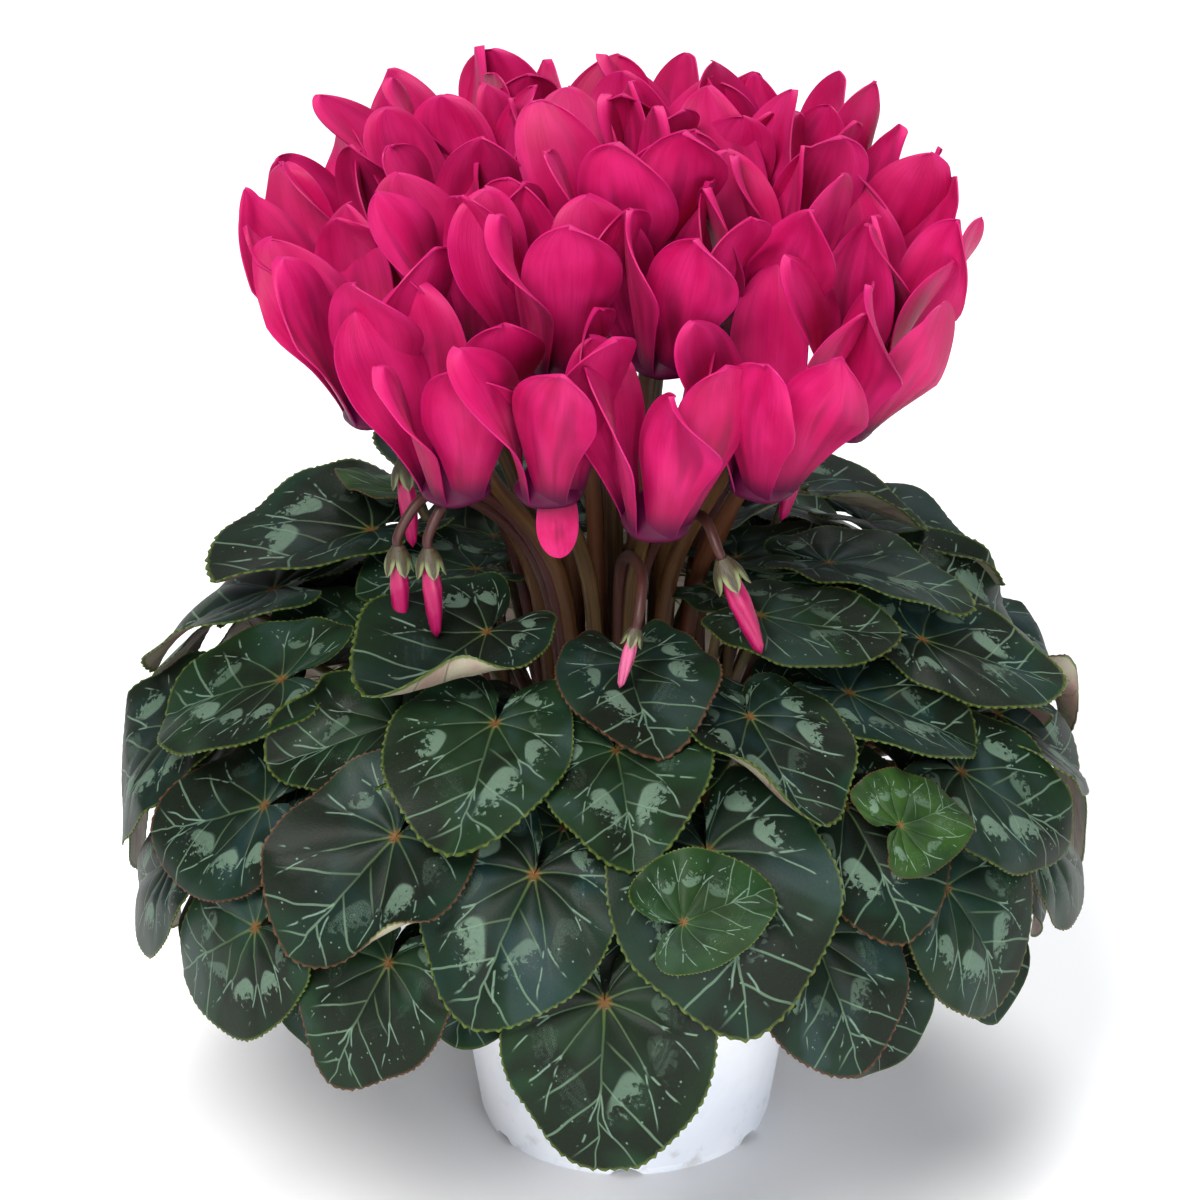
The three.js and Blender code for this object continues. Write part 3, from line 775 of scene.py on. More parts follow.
# A leaf's spots from their angle at the notch and their share of the way to the margin
def leafPoints(leaf, angle, share, edgeScale=1.0):
    settings = bladeSettings
    length = leaf["length"]
    shoulder = np.exp(-((np.abs(angle) - settings["shoulderAngle"]) / settings["shoulderWidth"]) ** 2)
    shape = 1 - settings["shoulderDepth"] * leaf["pointed"] * shoulder + leaf["lopsided"] * np.sin(angle)
    reach = heartEdge(angle) * shape * length * share * edgeScale
    along = reach * np.cos(angle)
    across = reach * np.sin(angle)
    forward = np.maximum(along, 0) / length

    # The margin that rolls over: how far round each spot has gone, and what that leaves of its reach
    rollable = 1 - settings["tuckStart"]
    past = np.clip((share - settings["tuckStart"]) / rollable, 0, 1)
    rolled = leaf["tuck"] * np.exp(-((angle - leaf["tuckAngle"]) / settings["tuckWidth"]) ** 2) * past
    kept = 1 - rollable * past * (1 - np.sinc(rolled / math.pi)) / np.maximum(share, 0.1)
    rollHeight = rollable * past * heartEdge(angle) * length * np.sin(rolled / 2)
    rollHeight = rollHeight * np.sinc(rolled / (2 * math.pi))

    # Its place on the dome, turned at the notch and swung about the blade's middle
    turned, swung = leaf["turn"], leaf["turn"] + leaf["swing"]
    middleReach = settings["middle"] * length
    beyond = along * kept - middleReach
    bent = across * kept + leaf["sickle"] * length * forward ** 2
    downhill = middleReach * math.cos(turned) + beyond * math.cos(swung) - bent * math.sin(swung)
    sideways = middleReach * math.sin(turned) + beyond * math.sin(swung) + bent * math.cos(swung)
    middle = leaf["height"] - 0.35 * length / domeStride(leaf["height"])
    height = leaf["height"] - downhill / domeStride(middle)
    azimuth = leaf["azimuth"] + sideways / (domeSettings["radius"] * math.cos(middle))

    # Its lift off the dome, freer the further it hangs past its petiole
    free = 0.4 + 0.6 * np.clip(downhill / (0.5 * length), 0, 1)
    lift = (leaf["lift"] + domeSettings["slope"] * downhill + leaf["fold"] * np.abs(across)
            + free * leaf["roll"] * across
            + free * leaf["wave"] * share ** 2 * (0.2 + np.sin(leaf["waves"] * angle + leaf["phase"]))
            + free * leaf["curl"] * share ** 4 * (0.5 + 0.5 * np.cos(angle - leaf["curlTurn"]))
            + free * leaf["crease"] * (np.abs(across) - 0.012 * across ** 2)
            + free * leaf["sideFold"] * np.maximum(0, leaf["foldSide"] * across - 0.14 * length)
            + leaf["tipCurl"] * forward ** 5
            - leaf["droop"] * length * forward ** 2)
    quilt = (1 - (1 - 2 * veinGap(angle, share)) ** 2) * np.sin(math.pi * np.minimum(share, 1)) ** 0.7
    ruffle = settings["margin"] * share ** 6 * np.sin(9 * angle + 5 * leaf["phase"])
    lift = lift + settings["quilting"] * quilt + ruffle + rollHeight
    return keepInside(domePoints(height, azimuth, lift), domeSettings["reachLimit"]), along, across


# One flat toothed heart, which every leaf is a copy of
def makeFlatBlade(name, around, outward):
    blade = startGrid(name, around, outward)
    spots = pointsOf(blade)
    lastAngle = math.radians(heartAngles[-1])
    angle = spots[:, 0] * lastAngle
    share = 1 - ((1 - spots[:, 1]) / 2) ** 1.3  # rows crowd towards the margin
    rise = bladeSettings["toothRise"]
    tooth = (angle / lastAngle * bladeSettings["teeth"] / 2) % 1
    peak = np.where(tooth < rise, tooth / rise, (1 - tooth) / (1 - rise))
    edge = 1 + bladeSettings["toothDepth"] * (peak - 0.5) * share ** 30
    reach = heartEdge(angle) * share * edge
    flat = np.stack((reach * np.sin(angle), reach * np.cos(angle), np.zeros_like(angle)), axis=-1)
    movePoints(blade, flat)
    write(blade, "leafAngle", angle)
    write(blade, "leafShare", share)
    write(blade, "leafTooth", edge)
    inEditMode(blade, lambda: bpy.ops.mesh.remove_doubles(threshold=1e-5), bpy.ops.mesh.flip_normals)
    return blade


def makeBlade(master, leaf, name):
    blade = copyOf(master, name)
    angle, share = readNumbers(blade, "leafAngle"), readNumbers(blade, "leafShare")
    edgeScale = readNumbers(blade, "leafTooth") * bladeSettings["fullness"]
    spots, along, across = leafPoints(leaf, angle, share, edgeScale)
    movePoints(blade, spots * mm)
    write(blade, "leafPlace", across / leaf["length"], along / leaf["length"], leaf["seed"])
    write(blade, "leafTone", leaf["tone"])
    for material in (leafTop, leafBack):
        blade.data.materials.append(material)
    thicken(blade, bladeSettings["thickness"], 1)
    return blade


def curvePoints(start, first, second, end, count):
    t = np.linspace(0, 1, count)[:, None]
    early = (1 - t) ** 3 * start + 3 * (1 - t) ** 2 * t * first
    return early + 3 * (1 - t) * t ** 2 * second + t ** 3 * end


def makePetiole(leaf, stub, name):
    settings = petioleSettings
    notch = leafPoints(leaf, np.array([0.35]), np.array([0.05]))[0][0]
    below = domePoints(leaf["height"], leaf["azimuth"], leaf["lift"] - settings["swing"])
    start = np.array([stub[0], stub[1], settings["stubTop"] - settings["stubSink"]])
    rise = start + settings["spread"] * (below - start)
    rise[2] = settings["stubTop"] + leaf["climb"]
    path = curvePoints(start, rise, below, notch, settings["rings"] + 1)
    radii = np.linspace(settings["radius"] + 0.3, settings["radius"] - 0.1, len(path))
    radii[-1] = settings["tipRadius"]
    return layBar(petioleBar, name, path, radii, leaf["seed"])


def makeStub(stub, name):
    settings = petioleSettings
    rings = settings["rings"] + 1
    heights = np.linspace(settings["stubFoot"], settings["stubTop"], rings)
    path = np.array([[stub[0], stub[1], height] for height in heights])
    radii = settings["stubRadius"] * np.sqrt(np.clip(1.02 - np.linspace(0, 1, rings) ** 6, 0, 1))
    return layBar(petioleBar, name, path, radii, 90)


leafPaint = {
    "deep": paint(15, 27, 20),
    "green": paint(21, 44, 23),
    # blue: painted reflection, a bluish sheen of the sky laid into the leaf colour
    "blue": paint(21, 42, 44),
    "charcoal": paint(25, 30, 28),
    "grass": paint(28, 52, 25),
    # painted shade: near-black patches for the shaded parts of the leaves
    "paintedShade": paint(17, 19, 13),
    # painted sheen: pale bluish-grey patches standing for a glossy reflection
    "paintedSheen": paint(50, 66, 66),
    "young": paint(44, 72, 27),
    "youngDeep": paint(29, 52, 22),
    "vein": paint(86, 108, 58),
    "greyVein": paint(78, 98, 72),
    "silver": paint(92, 116, 94),
    "paleSilver": paint(112, 136, 120),
    "margin": paint(78, 92, 38),
    "rust": paint(84, 56, 38),
    "notch": paint(112, 64, 34),
    "back": paint(146, 142, 120),
    "backBlush": paint(130, 102, 94),
    "backVein": paint(104, 104, 74),
    "petiole": paint(86, 62, 40),
    "petioleRed": paint(88, 44, 36),
    "petioleGreen": paint(78, 80, 44),
}
veinSettings = {
    "sway": 0.09,
    "mainWidths": (0.0105, 0.004),  # at the notch and at the margin
    "midribWidths": (0.0125, 0.005),
    "forkSpread": 0.62,
    "rungSpacing": 0.24,
    "rungSlope": 0.8,
    "rungStagger": 0.045,
}
blotchSettings = {
    "shift": 0.09,
    "hollow": 0.2,
    "nibble": 0.5,
    "innerEnd": (0.43, 0.46),
    "outerEnds": (0.5, 0.64),
    "strength": 0.85,
}


# Lines along the main veins, their forks and the midrib's side branches, worked out in the leaf's own
# plane; the fields between the main veins are numbered by cell
def veinPattern(tree):
    settings = veinSettings
    x, y, seed = written(tree, "leafPlace").parts()
    share = written(tree, "leafShare", "Fac")
    own = placeOf(x, y, seed * 3.7)
    across = (own.grain(5, 1) - 0.5) * settings["sway"] * share + x
    reach = (x * x + y * y).maths("SQRT")
    step = math.radians(bladeSettings["veinStep"])
    turn = across.maths("ARCTAN2", y) * (share * bladeSettings["veinBend"] + 1) / step
    gap = turn.offWhole()
    scale = reach * step

    main = (gap * scale / share.fade(0.0, 1.0, *settings["mainWidths"])).fadeOut(0.45, 1.3)
    midrib = (abs(across) / y.fade(0.0, 1.0, *settings["midribWidths"])).fadeOut(0.45, 1.3)
    fork = (abs(gap - (share - 0.5) * settings["forkSpread"]) * scale).fadeOut(0.003, 0.01)
    broken = own.grain(11, 1).fade(0.42, 0.5)
    lean = across.maths("SIGN") * settings["rungStagger"] + y
    rung = ((lean - abs(across) * settings["rungSlope"]) / settings["rungSpacing"]).offWhole()
    between = abs(turn).fadeOut(0.72, 0.95) * y.fadeOut(0.8, 0.9)
    rung = rung.fadeOut(0.02, 0.05) * y.fade(0.2, 0.26) * between
    lines = (main * share.fadeOut(0.5, 0.62)).orMore(midrib * y.fade(-0.02, 0.02)).orMore(rung)
    return {
        "own": own,
        "share": share,
        "seed": seed,
        "cell": turn.maths("FLOOR"),
        "gap": gap,
        "reach": reach,
        "lines": lines,
        "fork": fork * share.fade(0.5, 0.54) * (share.fadeOut(0.82, 0.9) * broken),
    }


# Silver blotches, one or none in each field, with nibbled outer ends, and flecks towards the margin
def silverPattern(veins):
    settings = blotchSettings
    own, share, cell, seed = (veins[name] for name in ("own", "share", "cell", "seed"))
    luck = addNode(own.tree, "TexWhiteNoise", {"Vector": placeOf(cell, seed, 0.5)})
    shifted = share - (luck - 0.5) * settings["shift"]
    middle = veins["gap"] * 2
    inner = shifted - (1 - middle) ** 2 * settings["hollow"]
    outer = shifted + (own.grain(26, 4, 0.6) - 0.5) * settings["nibble"]
    outer = outer - luck.fade(0.1, 0.9, *settings["outerEnds"])
    blotch = inner.fade(*settings["innerEnd"]) * outer.fadeOut(-0.02, 0.03) * middle.fade(0.2, 0.42)
    blotch = blotch * luck.fade(0.2, 0.8, 0.0, settings["strength"])
    flecks = own.cells(21).fadeOut(0.1, 0.17) * own.grain(7, 1).fade(0.5, 0.56)
    flecks = flecks * (share.fade(0.5, 0.58) * share.fadeOut(0.84, 0.93))
    return blotch.orMore(flecks).orMore(veins["fork"])


def leafTopMaterial():
    material, tree, shader = newMaterial(
        "leafTop", Base_Color=leafPaint["deep"], Roughness=0.46, Specular_IOR_Level=0.12)
    veins = veinPattern(tree)
    silver = silverPattern(veins)
    own, share, seed = veins["own"], veins["share"], veins["seed"]
    tone = written(tree, "leafTone", "Fac")

    cloud = own.grain(2.6)
    # the noise for the painted shade and the painted sheen patches below
    shade = own.grain(1.7, 2, 0.5)
    fine = own.grain(60, 3)
    edgeGreen = share.fade(0.55, 0.95, 0.15, 0.7) * own.grain(4).fade(0.3, 0.7, 0.5, 1)
    young = cloud.fade(0.35, 0.65).tint(leafPaint["youngDeep"], leafPaint["young"])
    field = layered(
        leafPaint,
        "deep",
        # painted reflection: bluish sheen patches laid by the cloud noise
        (cloud.fade(0.38, 0.62), "blue"),
        (tone.fade(0.1, 0.9, 0.55, 0.0), "charcoal"),
        (edgeGreen, "green"),
        (placeOf(seed, 7, seed).grain(2.9, 0).fade(0.52, 0.62, 0, 0.5), "grass"),
        # painted shade: dark patches laid by noise
        (shade.fade(0.38, 0.55, 0.85, 0), "paintedShade"),
        # painted sheen: bluish-grey patches laid by noise
        (shade.fade(0.55, 0.68, 0, 0.45), "paintedSheen"),
        (tone.fade(0.95, 1.35), young),
        (fine.fade(0.3, 0.7, 0.0, 0.25), "green"),
    )
    veinColour = layered(
        leafPaint,
        "vein",
        (share.fade(0.05, 0.3), "greyVein"),
        (share.fade(0.4, 0.62), "silver"),
    )
    rusty = placeOf(seed, 2, seed).grain(2.3, 0).fade(0.58, 0.66)
    onTooth = written(tree, "leafTooth", "Fac").fade(0.994, 1.006, 0.3, 1.0)
    layered(
        leafPaint,
        field,
        (veins["lines"] * share.fade(0.4, 0.6, 0.55, 0.75), veinColour),
        (silver * 0.85, fine.tint(leafPaint["silver"], leafPaint["paleSilver"])),
        (share.fade(0.974, 0.99) * onTooth, rusty.tint(leafPaint["margin"], leafPaint["rust"])),
        (veins["reach"].fade(0.015, 0.06, 0.7, 0), "notch"),
    ).into(shader, "Base Color")
    silver.fade(0, 1, 0.44, 0.54).into(shader, "Roughness")
    pebbles = own.cells(44, "DISTANCE_TO_EDGE").fade(0.0, 0.22)
    (pebbles * 0.09 - veins["lines"].orMore(veins["fork"])).emboss(shader, 0.34, 0.5)
    return material


def leafBackMaterial():
    material, tree, shader = newMaterial("leafBack", Base_Color=leafPaint["back"], Roughness=0.6)
    veins = veinPattern(tree)
    own = veins["own"]
    raised = veins["lines"].orMore(veins["fork"])
    layered(
        leafPaint,
        "back",
        (own.grain(3, 3).fade(0.35, 0.7), "backBlush"),
        (raised * 0.7, "backVein"),
        (veins["share"].fade(0.965, 0.985), "margin"),
    ).into(shader, "Base Color")
    (raised + own.grain(60) * 0.3).emboss(shader, 0.6, 0.6)
    return material


def petioleMaterial():
    material, tree, shader = newMaterial("petiole", Base_Color=leafPaint["petiole"], Roughness=0.5)
    place = objectPlace(tree)
    along = written(tree, "barPlace").parts()[0]
    layered(
        leafPaint,
        "petiole",
        (place.grain(22).fade(0.4, 0.62), "petioleRed"),
        (along.fade(0.2, 0.9, 0.0, 0.6), "petioleGreen"),
    ).into(shader, "Base Color")
    place.grain(700).emboss(shader, 0.3, 0.2)
    return material


leafTop = leafTopMaterial()
leafBack = leafBackMaterial()
petioleSkin = petioleMaterial()
flatBlade = makeFlatBlade("flatBlade", bladeSettings["around"], bladeSettings["outward"])
hiddenBlade = makeFlatBlade("hiddenBlade", bladeSettings["hiddenAround"], bladeSettings["hiddenOutward"])
petioleBar = makeRoundBar("petioleBar", petioleSettings["sides"], petioleSettings["rings"])


# Leaves whose petioles come up from one stub, joined in one piece
def makeLeafGroup(kind, number, leaves, azimuth, ring):
    name = f"{kind}Leaves{number:02d}"
    stub = (domeSettings["crownShift"] / 2 + ring * math.cos(azimuth), ring * math.sin(azimuth))
    pieces = [makeStub(stub, name)] + [makePetiole(leaf, stub, name) for leaf in leaves]
    for piece in pieces:
        piece.data.materials.append(petioleSkin)
    for leaf in leaves:
        pieces.append(makeBlade(hiddenBlade if leaf["hidden"] else flatBlade, leaf, name))
    group = joinAll(pieces, name, petioleSettings["sharpAngle"])
    hand(group, f"leaves_{kind}_{number:02d}")


def nearestGroup(groups, leaf):
    full = 2 * math.pi
    gaps = [abs((group[0]["azimuth"] - leaf["azimuth"] + math.pi) % full - math.pi) for group in groups]
    return groups[gaps.index(min(gaps))]


def makeLeaves():
    for index, (upperRow, hangingRow) in enumerate(zip(upperLeaves, hangingLeaves)):
        upper, hanging = leafFrom(upperRow, "upper", index), leafFrom(hangingRow, "hanging", index)
        azimuth = 0.5 * (upper["azimuth"] + hanging["azimuth"])
        if abs(upper["azimuth"] - hanging["azimuth"]) > math.pi:
            azimuth += math.pi
        makeLeafGroup("outer", index + 1, [upper, hanging], azimuth, petioleSettings["outerRing"])

    groups = [[leafFrom(row, "top", index)] for index, row in enumerate(topLeaves)]
    for index, row in enumerate(lowerLeaves):
        leaf = leafFrom(row, "lower", index)
        nearestGroup(groups, leaf).append(leaf)
    for index, row in enumerate(youngLeaves):
        groups[row[6]].append(leafFrom(row, "young", index))
    for index, row in enumerate(underLeaves):
        leaf = leafFrom(row, "under", index)
        nearestGroup(groups, leaf).append(leaf)
    for index, leaves in enumerate(groups):
        makeLeafGroup("inner", index + 1, leaves, leaves[0]["azimuth"], petioleSettings["innerRing"])


makeLeaves()
print("leaves done")

# The blooms. Each row: azimuth, reach of the mouth, its height, outward lean, turn of the petals, flare.
blooms = [
    [-129, 71, 235, 7, 0, 1],
    [-105, 70, 240, 5, 20, 1],
    [-80, 71, 231, 8, -4, 1],
    [-54, 72, 238, 9, 15, 1],
    [-28, 74, 247, 16, 0, 3],
    [-2, 75, 253, 17, 10, 4],
    [24, 75, 259, 15, -10, 4],
    [50, 75, 264, 13, 0, 3],
    [76, 75, 263, 12, 5, 2],
    [102, 75, 264, 12, -15, 2],
    [128, 75, 266, 13, 0, 3],
    [154, 75, 259, 15, 10, 4],
    [179, 75, 255, 15, -10, 3],
    [-155, 75, 249, 10, 5, 2],
    [-155, 44, 264, 6, 10, 1],
    [-114, 42, 266, 4, -10, 1],
    [-70, 43, 268, 4, 0, 1],
    [-26, 44, 266, 6, 15, 1],
    [18, 44, 268, 7, 0, 1],
    [63, 44, 267, 6, 10, 1],
    [109, 44, 266, 6, -10, 1],
    [156, 44, 268, 7, 0, 1],
    [-91, 13.5, 279, 1, 4, 0],
    [92, 17, 274, 3, -15, 0],
]
petalSettings = {
    "length": 53,
    "baseHalfWidth": 11.2,
    "halfWidth": 13.8,
    "thickness": 0.45,
    "widest": 0.62,
    "mouthRadius": 9.4,
    "crownRadius": 16.5,
    "stemGap": 108,
    "firstTurn": 18,
    "twist": 40,
    "twistSpread": 34,
    "flare": 4.5,
    "flareSpread": 4.5,
    "reachLimit": 103,
    "highest": 334,
    "across": 16,
    "upward": 28,
    "rolledEdge": 2.2,
    "ruffle": 1.5,
    "tipRoll": 2.4,
    "rearFlare": 3,
    "hanging": (1, 0),
    "hangingLength": 18,
    "hangingHalfWidth": 6.4,
    "hangingAngle": 196,
    "standOut": {(10, 3): 11, (11, 3): 6, (1, 1): 4, (5, 2): 5, (3, 2): 4},
    "sharpAngle": 60,
    "main": paint(175, 12, 81),
    "lit": paint(190, 28, 98),
    # deep: the colour of the lengthwise streaks, and also painted shade towards the petals' base
    "deep": paint(122, 8, 54),
    "throat": paint(68, 4, 42),
    # crease: painted shade for the dark streaks in the petals' folds
    "crease": paint(108, 6, 46),
    "rim": paint(176, 24, 112),
}
# The tube behind the petals: radius and height of each ring, from inside its mouth round to its back
tubeRows = [
    (0.6, 5.2), (3.6, 4.6), (6.2, 2.4), (7.4, 0.4), (7.9, -0.7), (8.7, -1.3), (9.4, -1.2), (9.9, -0.4),
    (9.9, 0.8), (8.9, 2.6), (7.4, 5.2), (5.6, 8.2), (4.2, 10.0), (3.6, 10.5), (0.6, 10.5),
]
tubeSides = 30


def bloomFrom(row, index):
    azimuth, reach, height, lean, turn, flare = row
    around, tilt, twist = math.radians(azimuth), math.radians(lean), math.radians(turn)
    outward = np.array([math.cos(around), math.sin(around), 0])
    up = np.array([0, 0, 1])
    axis = outward * math.sin(tilt) + up * math.cos(tilt)
    facing = -outward * math.cos(tilt) + up * math.sin(tilt)
    inward = facing * math.cos(twist) + np.cross(axis, facing) * math.sin(twist)
    mouth = np.array([domeSettings["crownShift"] * 0.7 + reach * outward[0], reach * outward[1], height])
    return {
        "index": index,
        "azimuth": around,
        "mouth": mouth,
        "axis": axis,
        "inward": inward,
        "across": np.cross(axis, inward),
        "flare": flare,
    }


# Spots by radius, angle and height about a bloom's own axis
def bloomPoints(bloom, radius, angle, height):
    radius, angle, height = np.broadcast_arrays(radius, angle, height)
    return (bloom["mouth"] + (radius * np.cos(angle))[:, None] * bloom["inward"]
            + (radius * np.sin(angle))[:, None] * bloom["across"] + height[:, None] * bloom["axis"])


def petalWidth(up, pointed):
    widest = petalSettings["widest"]
    below = 0.36 + 0.64 * np.sin(0.5 * math.pi * np.clip(up / widest, 0, 1)) ** 1.4
    past = np.clip((up - widest) / (1 - widest), 0, 1)
    return np.where(up < widest, below, np.maximum(0, 1 - past ** 2.6) ** (0.5 + 0.3 * pointed))


def petalAngle(petal):
    gap = petalSettings["stemGap"]
    return math.radians(0.5 * gap + petal * (360 - gap) / 4)


# A petal rises from the mouth's rim, widens and turns about its own length, so that one edge stands out
def petalPoints(bloom, petal, up, side):
    settings = petalSettings
    if (bloom["index"], petal) == settings["hanging"]:
        return hangingPetal(bloom, side, up)
    seed = bloom["index"] * 5 + petal
    length = settings["length"] * (0.98 + 0.08 * scatter(seed, 6))

    # How far out it stands at each height
    base = settings["mouthRadius"] - 0.6
    crown = settings["crownRadius"] + 1.5 * scatter(seed, 24)
    flare = bloom["flare"] * 0.5 + settings["flare"] + settings["flareSpread"] * scatter(seed, 8)
    flare += settings["standOut"].get((bloom["index"], petal), 0)
    flare += settings["rearFlare"] * (petal in (0, 4))
    bow = 2.0 * scatter(seed, 25) * np.sin(math.pi * up)
    bow = bow + 1.0 * up * np.sin(5 * up + 3 * scatter(seed, 30))
    rising = np.sin(0.5 * math.pi * np.minimum(1, up / 0.9))
    radius = base + (crown - base) * rising + flare * up ** 3 + bow
    turned = settings["twist"] + settings["twistSpread"] * scatter(seed, 26)
    turning = np.radians(settings["firstTurn"] + turned * up ** 1.4)

    # How wide it is, and how its surface cups, rolls, waves and creases
    broad = np.clip((up - 0.28) / 0.3, 0, 1)
    width = settings["baseHalfWidth"]
    width = width + (settings["halfWidth"] - width) * broad ** 2 * (3 - 2 * broad)
    width = width * (1 + 0.08 * scatter(seed, 27)) * petalWidth(up, 0.5 + 0.5 * scatter(seed, 28))
    offset = width * side
    cupped = offset ** 2 / (2 * radius) * (1 - 0.75 * up)
    rolled = settings["rolledEdge"] * (0.5 + 0.5 * scatter(seed, 21)) * np.abs(side) ** 3 * up ** 1.5
    ruffle = settings["ruffle"] * up * side ** 2 * np.sin(6 * up + 2.4 * side + 3 * scatter(seed, 22))
    crease = 0.5 * np.exp(-(side / 0.16) ** 2) * np.sin(math.pi * up)
    tipRoll = settings["tipRoll"] * np.clip((up - 0.75) / 0.25, 0, 1) ** 2 * (0.3 + scatter(seed, 23))
    outward = rolled + ruffle + tipRoll - cupped - crease

    angle = petalAngle(petal) + 0.25 * up * scatter(seed, 9) + 0.15 * scatter(seed, 29) * np.sin(4 * up)
    radial = radius + offset * np.sin(turning) + outward * np.cos(turning)
    tangent = offset * np.cos(turning) - outward * np.sin(turning)
    spots = bloomPoints(bloom, radial, angle, length * up)
    spots += (-tangent * np.sin(angle))[:, None] * bloom["inward"]
    spots += (tangent * np.cos(angle))[:, None] * bloom["across"]
    spots[:, 2] = np.minimum(spots[:, 2], settings["highest"])
    return keepInside(spots, settings["reachLimit"])


# The one petal that has dropped and hangs out of its mouth
def hangingPetal(bloom, side, up):
    settings = petalSettings
    front = math.radians(settings["hangingAngle"])
    rounded = np.sqrt(np.clip(1 - up ** 5, 0, 1))
    offset = settings["hangingHalfWidth"] * side * (0.86 + 0.14 * np.sin(math.pi * up)) * rounded
    radius = 6.6 - 0.03 * offset ** 2 + 1.2 * up ** 2
    spots = bloomPoints(bloom, radius, front, -settings["hangingLength"] * up)
    sideways = -math.sin(front) * bloom["inward"] + math.cos(front) * bloom["across"]
    return spots + offset[:, None] * sideways


def petalMaterial():
    settings = petalSettings
    material, tree, shader = newMaterial(
        "petalSkin",
        Base_Color=settings["main"],
        Roughness=0.5,
        Specular_IOR_Level=0.18,
        Subsurface_Weight=0.12,
        Subsurface_Scale=0.0012,
        Subsurface_Radius=(1.0, 0.2, 0.3),
        Sheen_Weight=0.03,
        Sheen_Roughness=0.4,
        Sheen_Tint=(1.0, 0.3, 0.6, 1),
    )
    side, up, seed = written(tree, "petalPlace").parts()
    lengthwise = placeOf(side * 9, up * 1.6, seed)
    streaks = lengthwise.grain(1.5, 4, 0.3)
    cloud = placeOf(side, up * 2, seed).grain(1.3)
    # painted shade: broad soft dark streaks along the petal, where its folds would shade it
    fold = placeOf(side * 1.3, up * 0.7, seed).grain(1.6, 1).fade(0.5, 0.68, 0, 0.6)
    outside = abs(side).orMore(up * 0.985)
    layered(
        settings,
        "main",
        (cloud.fade(0.35, 0.65), "lit"),
        (streaks.fade(0.45, 0.75, 0, 0.24), "deep"),
        # painted shade: darker towards the mouth, over the lower half of the petal
        (up.fade(0.04, 0.55, 0.85, 0), "deep"),
        # painted shade in the folds, strongest below the middle of the petal
        (fold * up.fade(0.5, 1.0, 1, 0.2), "crease"),
        (up.fadeOut(0.01, 0.2), "throat"),
        (outside.fade(0.93, 1.0, 0, 0.28), "rim"),
    ).into(shader, "Base Color")
    (streaks + lengthwise.grain(9) * 0.3).emboss(shader, 0.3, 0.4)
    return material


# One flat sheet, which every petal or sepal is a copy of; crowding brings its rows closer at the tip
def makeFlatSheet(name, across, upward, crowding):
    sheet = startGrid(name, across, upward)
    spots = pointsOf(sheet)
    rise = 0.5 + 0.5 * spots[:, 1]
    write(sheet, "petalSide", spots[:, 0])
    write(sheet, "petalUp", (1 + crowding) * rise - crowding * rise ** 3)
    return sheet


petalSkin = petalMaterial()
flatPetal = makeFlatSheet("flatPetal", petalSettings["across"], petalSettings["upward"], 0.5)
tubeBar = makeRoundBar("tubeBar", tubeSides, len(tubeRows) - 1)


def makeBloomTube(bloom, name):
    tube = copyOf(tubeBar, name)
    ring = readNumbers(tube, "ringNumber").astype(int)
    angle = readNumbers(tube, "roundAngle")
    radius, height = np.array(tubeRows)[ring].T
    lobes = 0.35 * np.cos(5 * angle) * np.exp(-(height / 2.5) ** 2) * (radius > 6)
    movePoints(tube, bloomPoints(bloom, radius + lobes, angle, height) * mm)
    write(tube, "petalPlace", 0, 0.03, bloom["index"])
    return tube


def makeBloom(row, index):
    bloom = bloomFrom(row, index)
    name = f"bloom{index + 1:02d}"
    pieces = [makeBloomTube(bloom, name)]
    for petal in range(5):
        sheet = copyOf(flatPetal, name)
        side, up = readNumbers(sheet, "petalSide"), readNumbers(sheet, "petalUp")
        movePoints(sheet, petalPoints(bloom, petal, up, side) * mm)
        write(sheet, "petalPlace", side, up, index * 5 + petal)
        thicken(sheet, petalSettings["thickness"])
        pieces.append(sheet)
    whole = joinAll(pieces, name, petalSettings["sharpAngle"])
    whole.data.materials.append(petalSkin)
    hand(whole, f"bloom_{index + 1:02d}")
    return bloom


bloomList = [makeBloom(row, index) for index, row in enumerate(blooms)]
print("blooms done")

# The closed buds. Each row: seat under the calyx, which way it points, top of its hook, scale.
buds = [
    [[-66, -8, 222], [0.1, -0.1, -1], [-57, -4, 236], 1],
    [[-66, -56, 216], [0.02, -0.05, -1], [-57, -48, 230], 1],
    [[-57, -62, 218], [0.08, -0.1, -1], [-49, -52, 233], 1],
    [[2, -84, 204], [-0.25, -0.1, -1], [4, -74, 215], 0.7],
    [[27, -76, 221], [0.4, -0.06, -1], [21, -66, 231], 1.15],
    [[52, -8, 230], [-0.25, -0.1, -1], [44, -6, 243], 1],
]
budSettings = {
    "length": 26,
    "sides": 30,
    "shares": [0, 0.06, 0.2, 0.42, 0.7, 0.92, 1],
    "radii": [0.1, 1.7, 2.4, 2.9, 2.4, 1.5, 0.15],
    "rings": 26,
    "twist": 1.5,
    "furrow": 0.16,
    "seatGap": 0.4,
    "calyxDepth": 2.5,
    "stemRing": 16,
    "kneeRing": 30,
    "kneeRise": 8,
    "rootHeight": 97,
    "stemRadius": 2.0,
    "neckRadius": 1.3,
    "calyxRadius": 2.4,
    "paleBud": 3,
    "firstStem": 40,
    "main": paint(162, 8, 80),
    "pale": paint(200, 96, 136),
    "line": paint(150, 10, 70),
}
sepalSettings = {
    "across": 4,
    "upward": 6,
    "length": 8.6,
    "halfAngle": 0.66,
    "neck": 1.4,
    "thickness": 0.4,
    "budSpread": 2.5,
    "bloomSpread": 5.2,
    "bloomScale": 0.62,
}
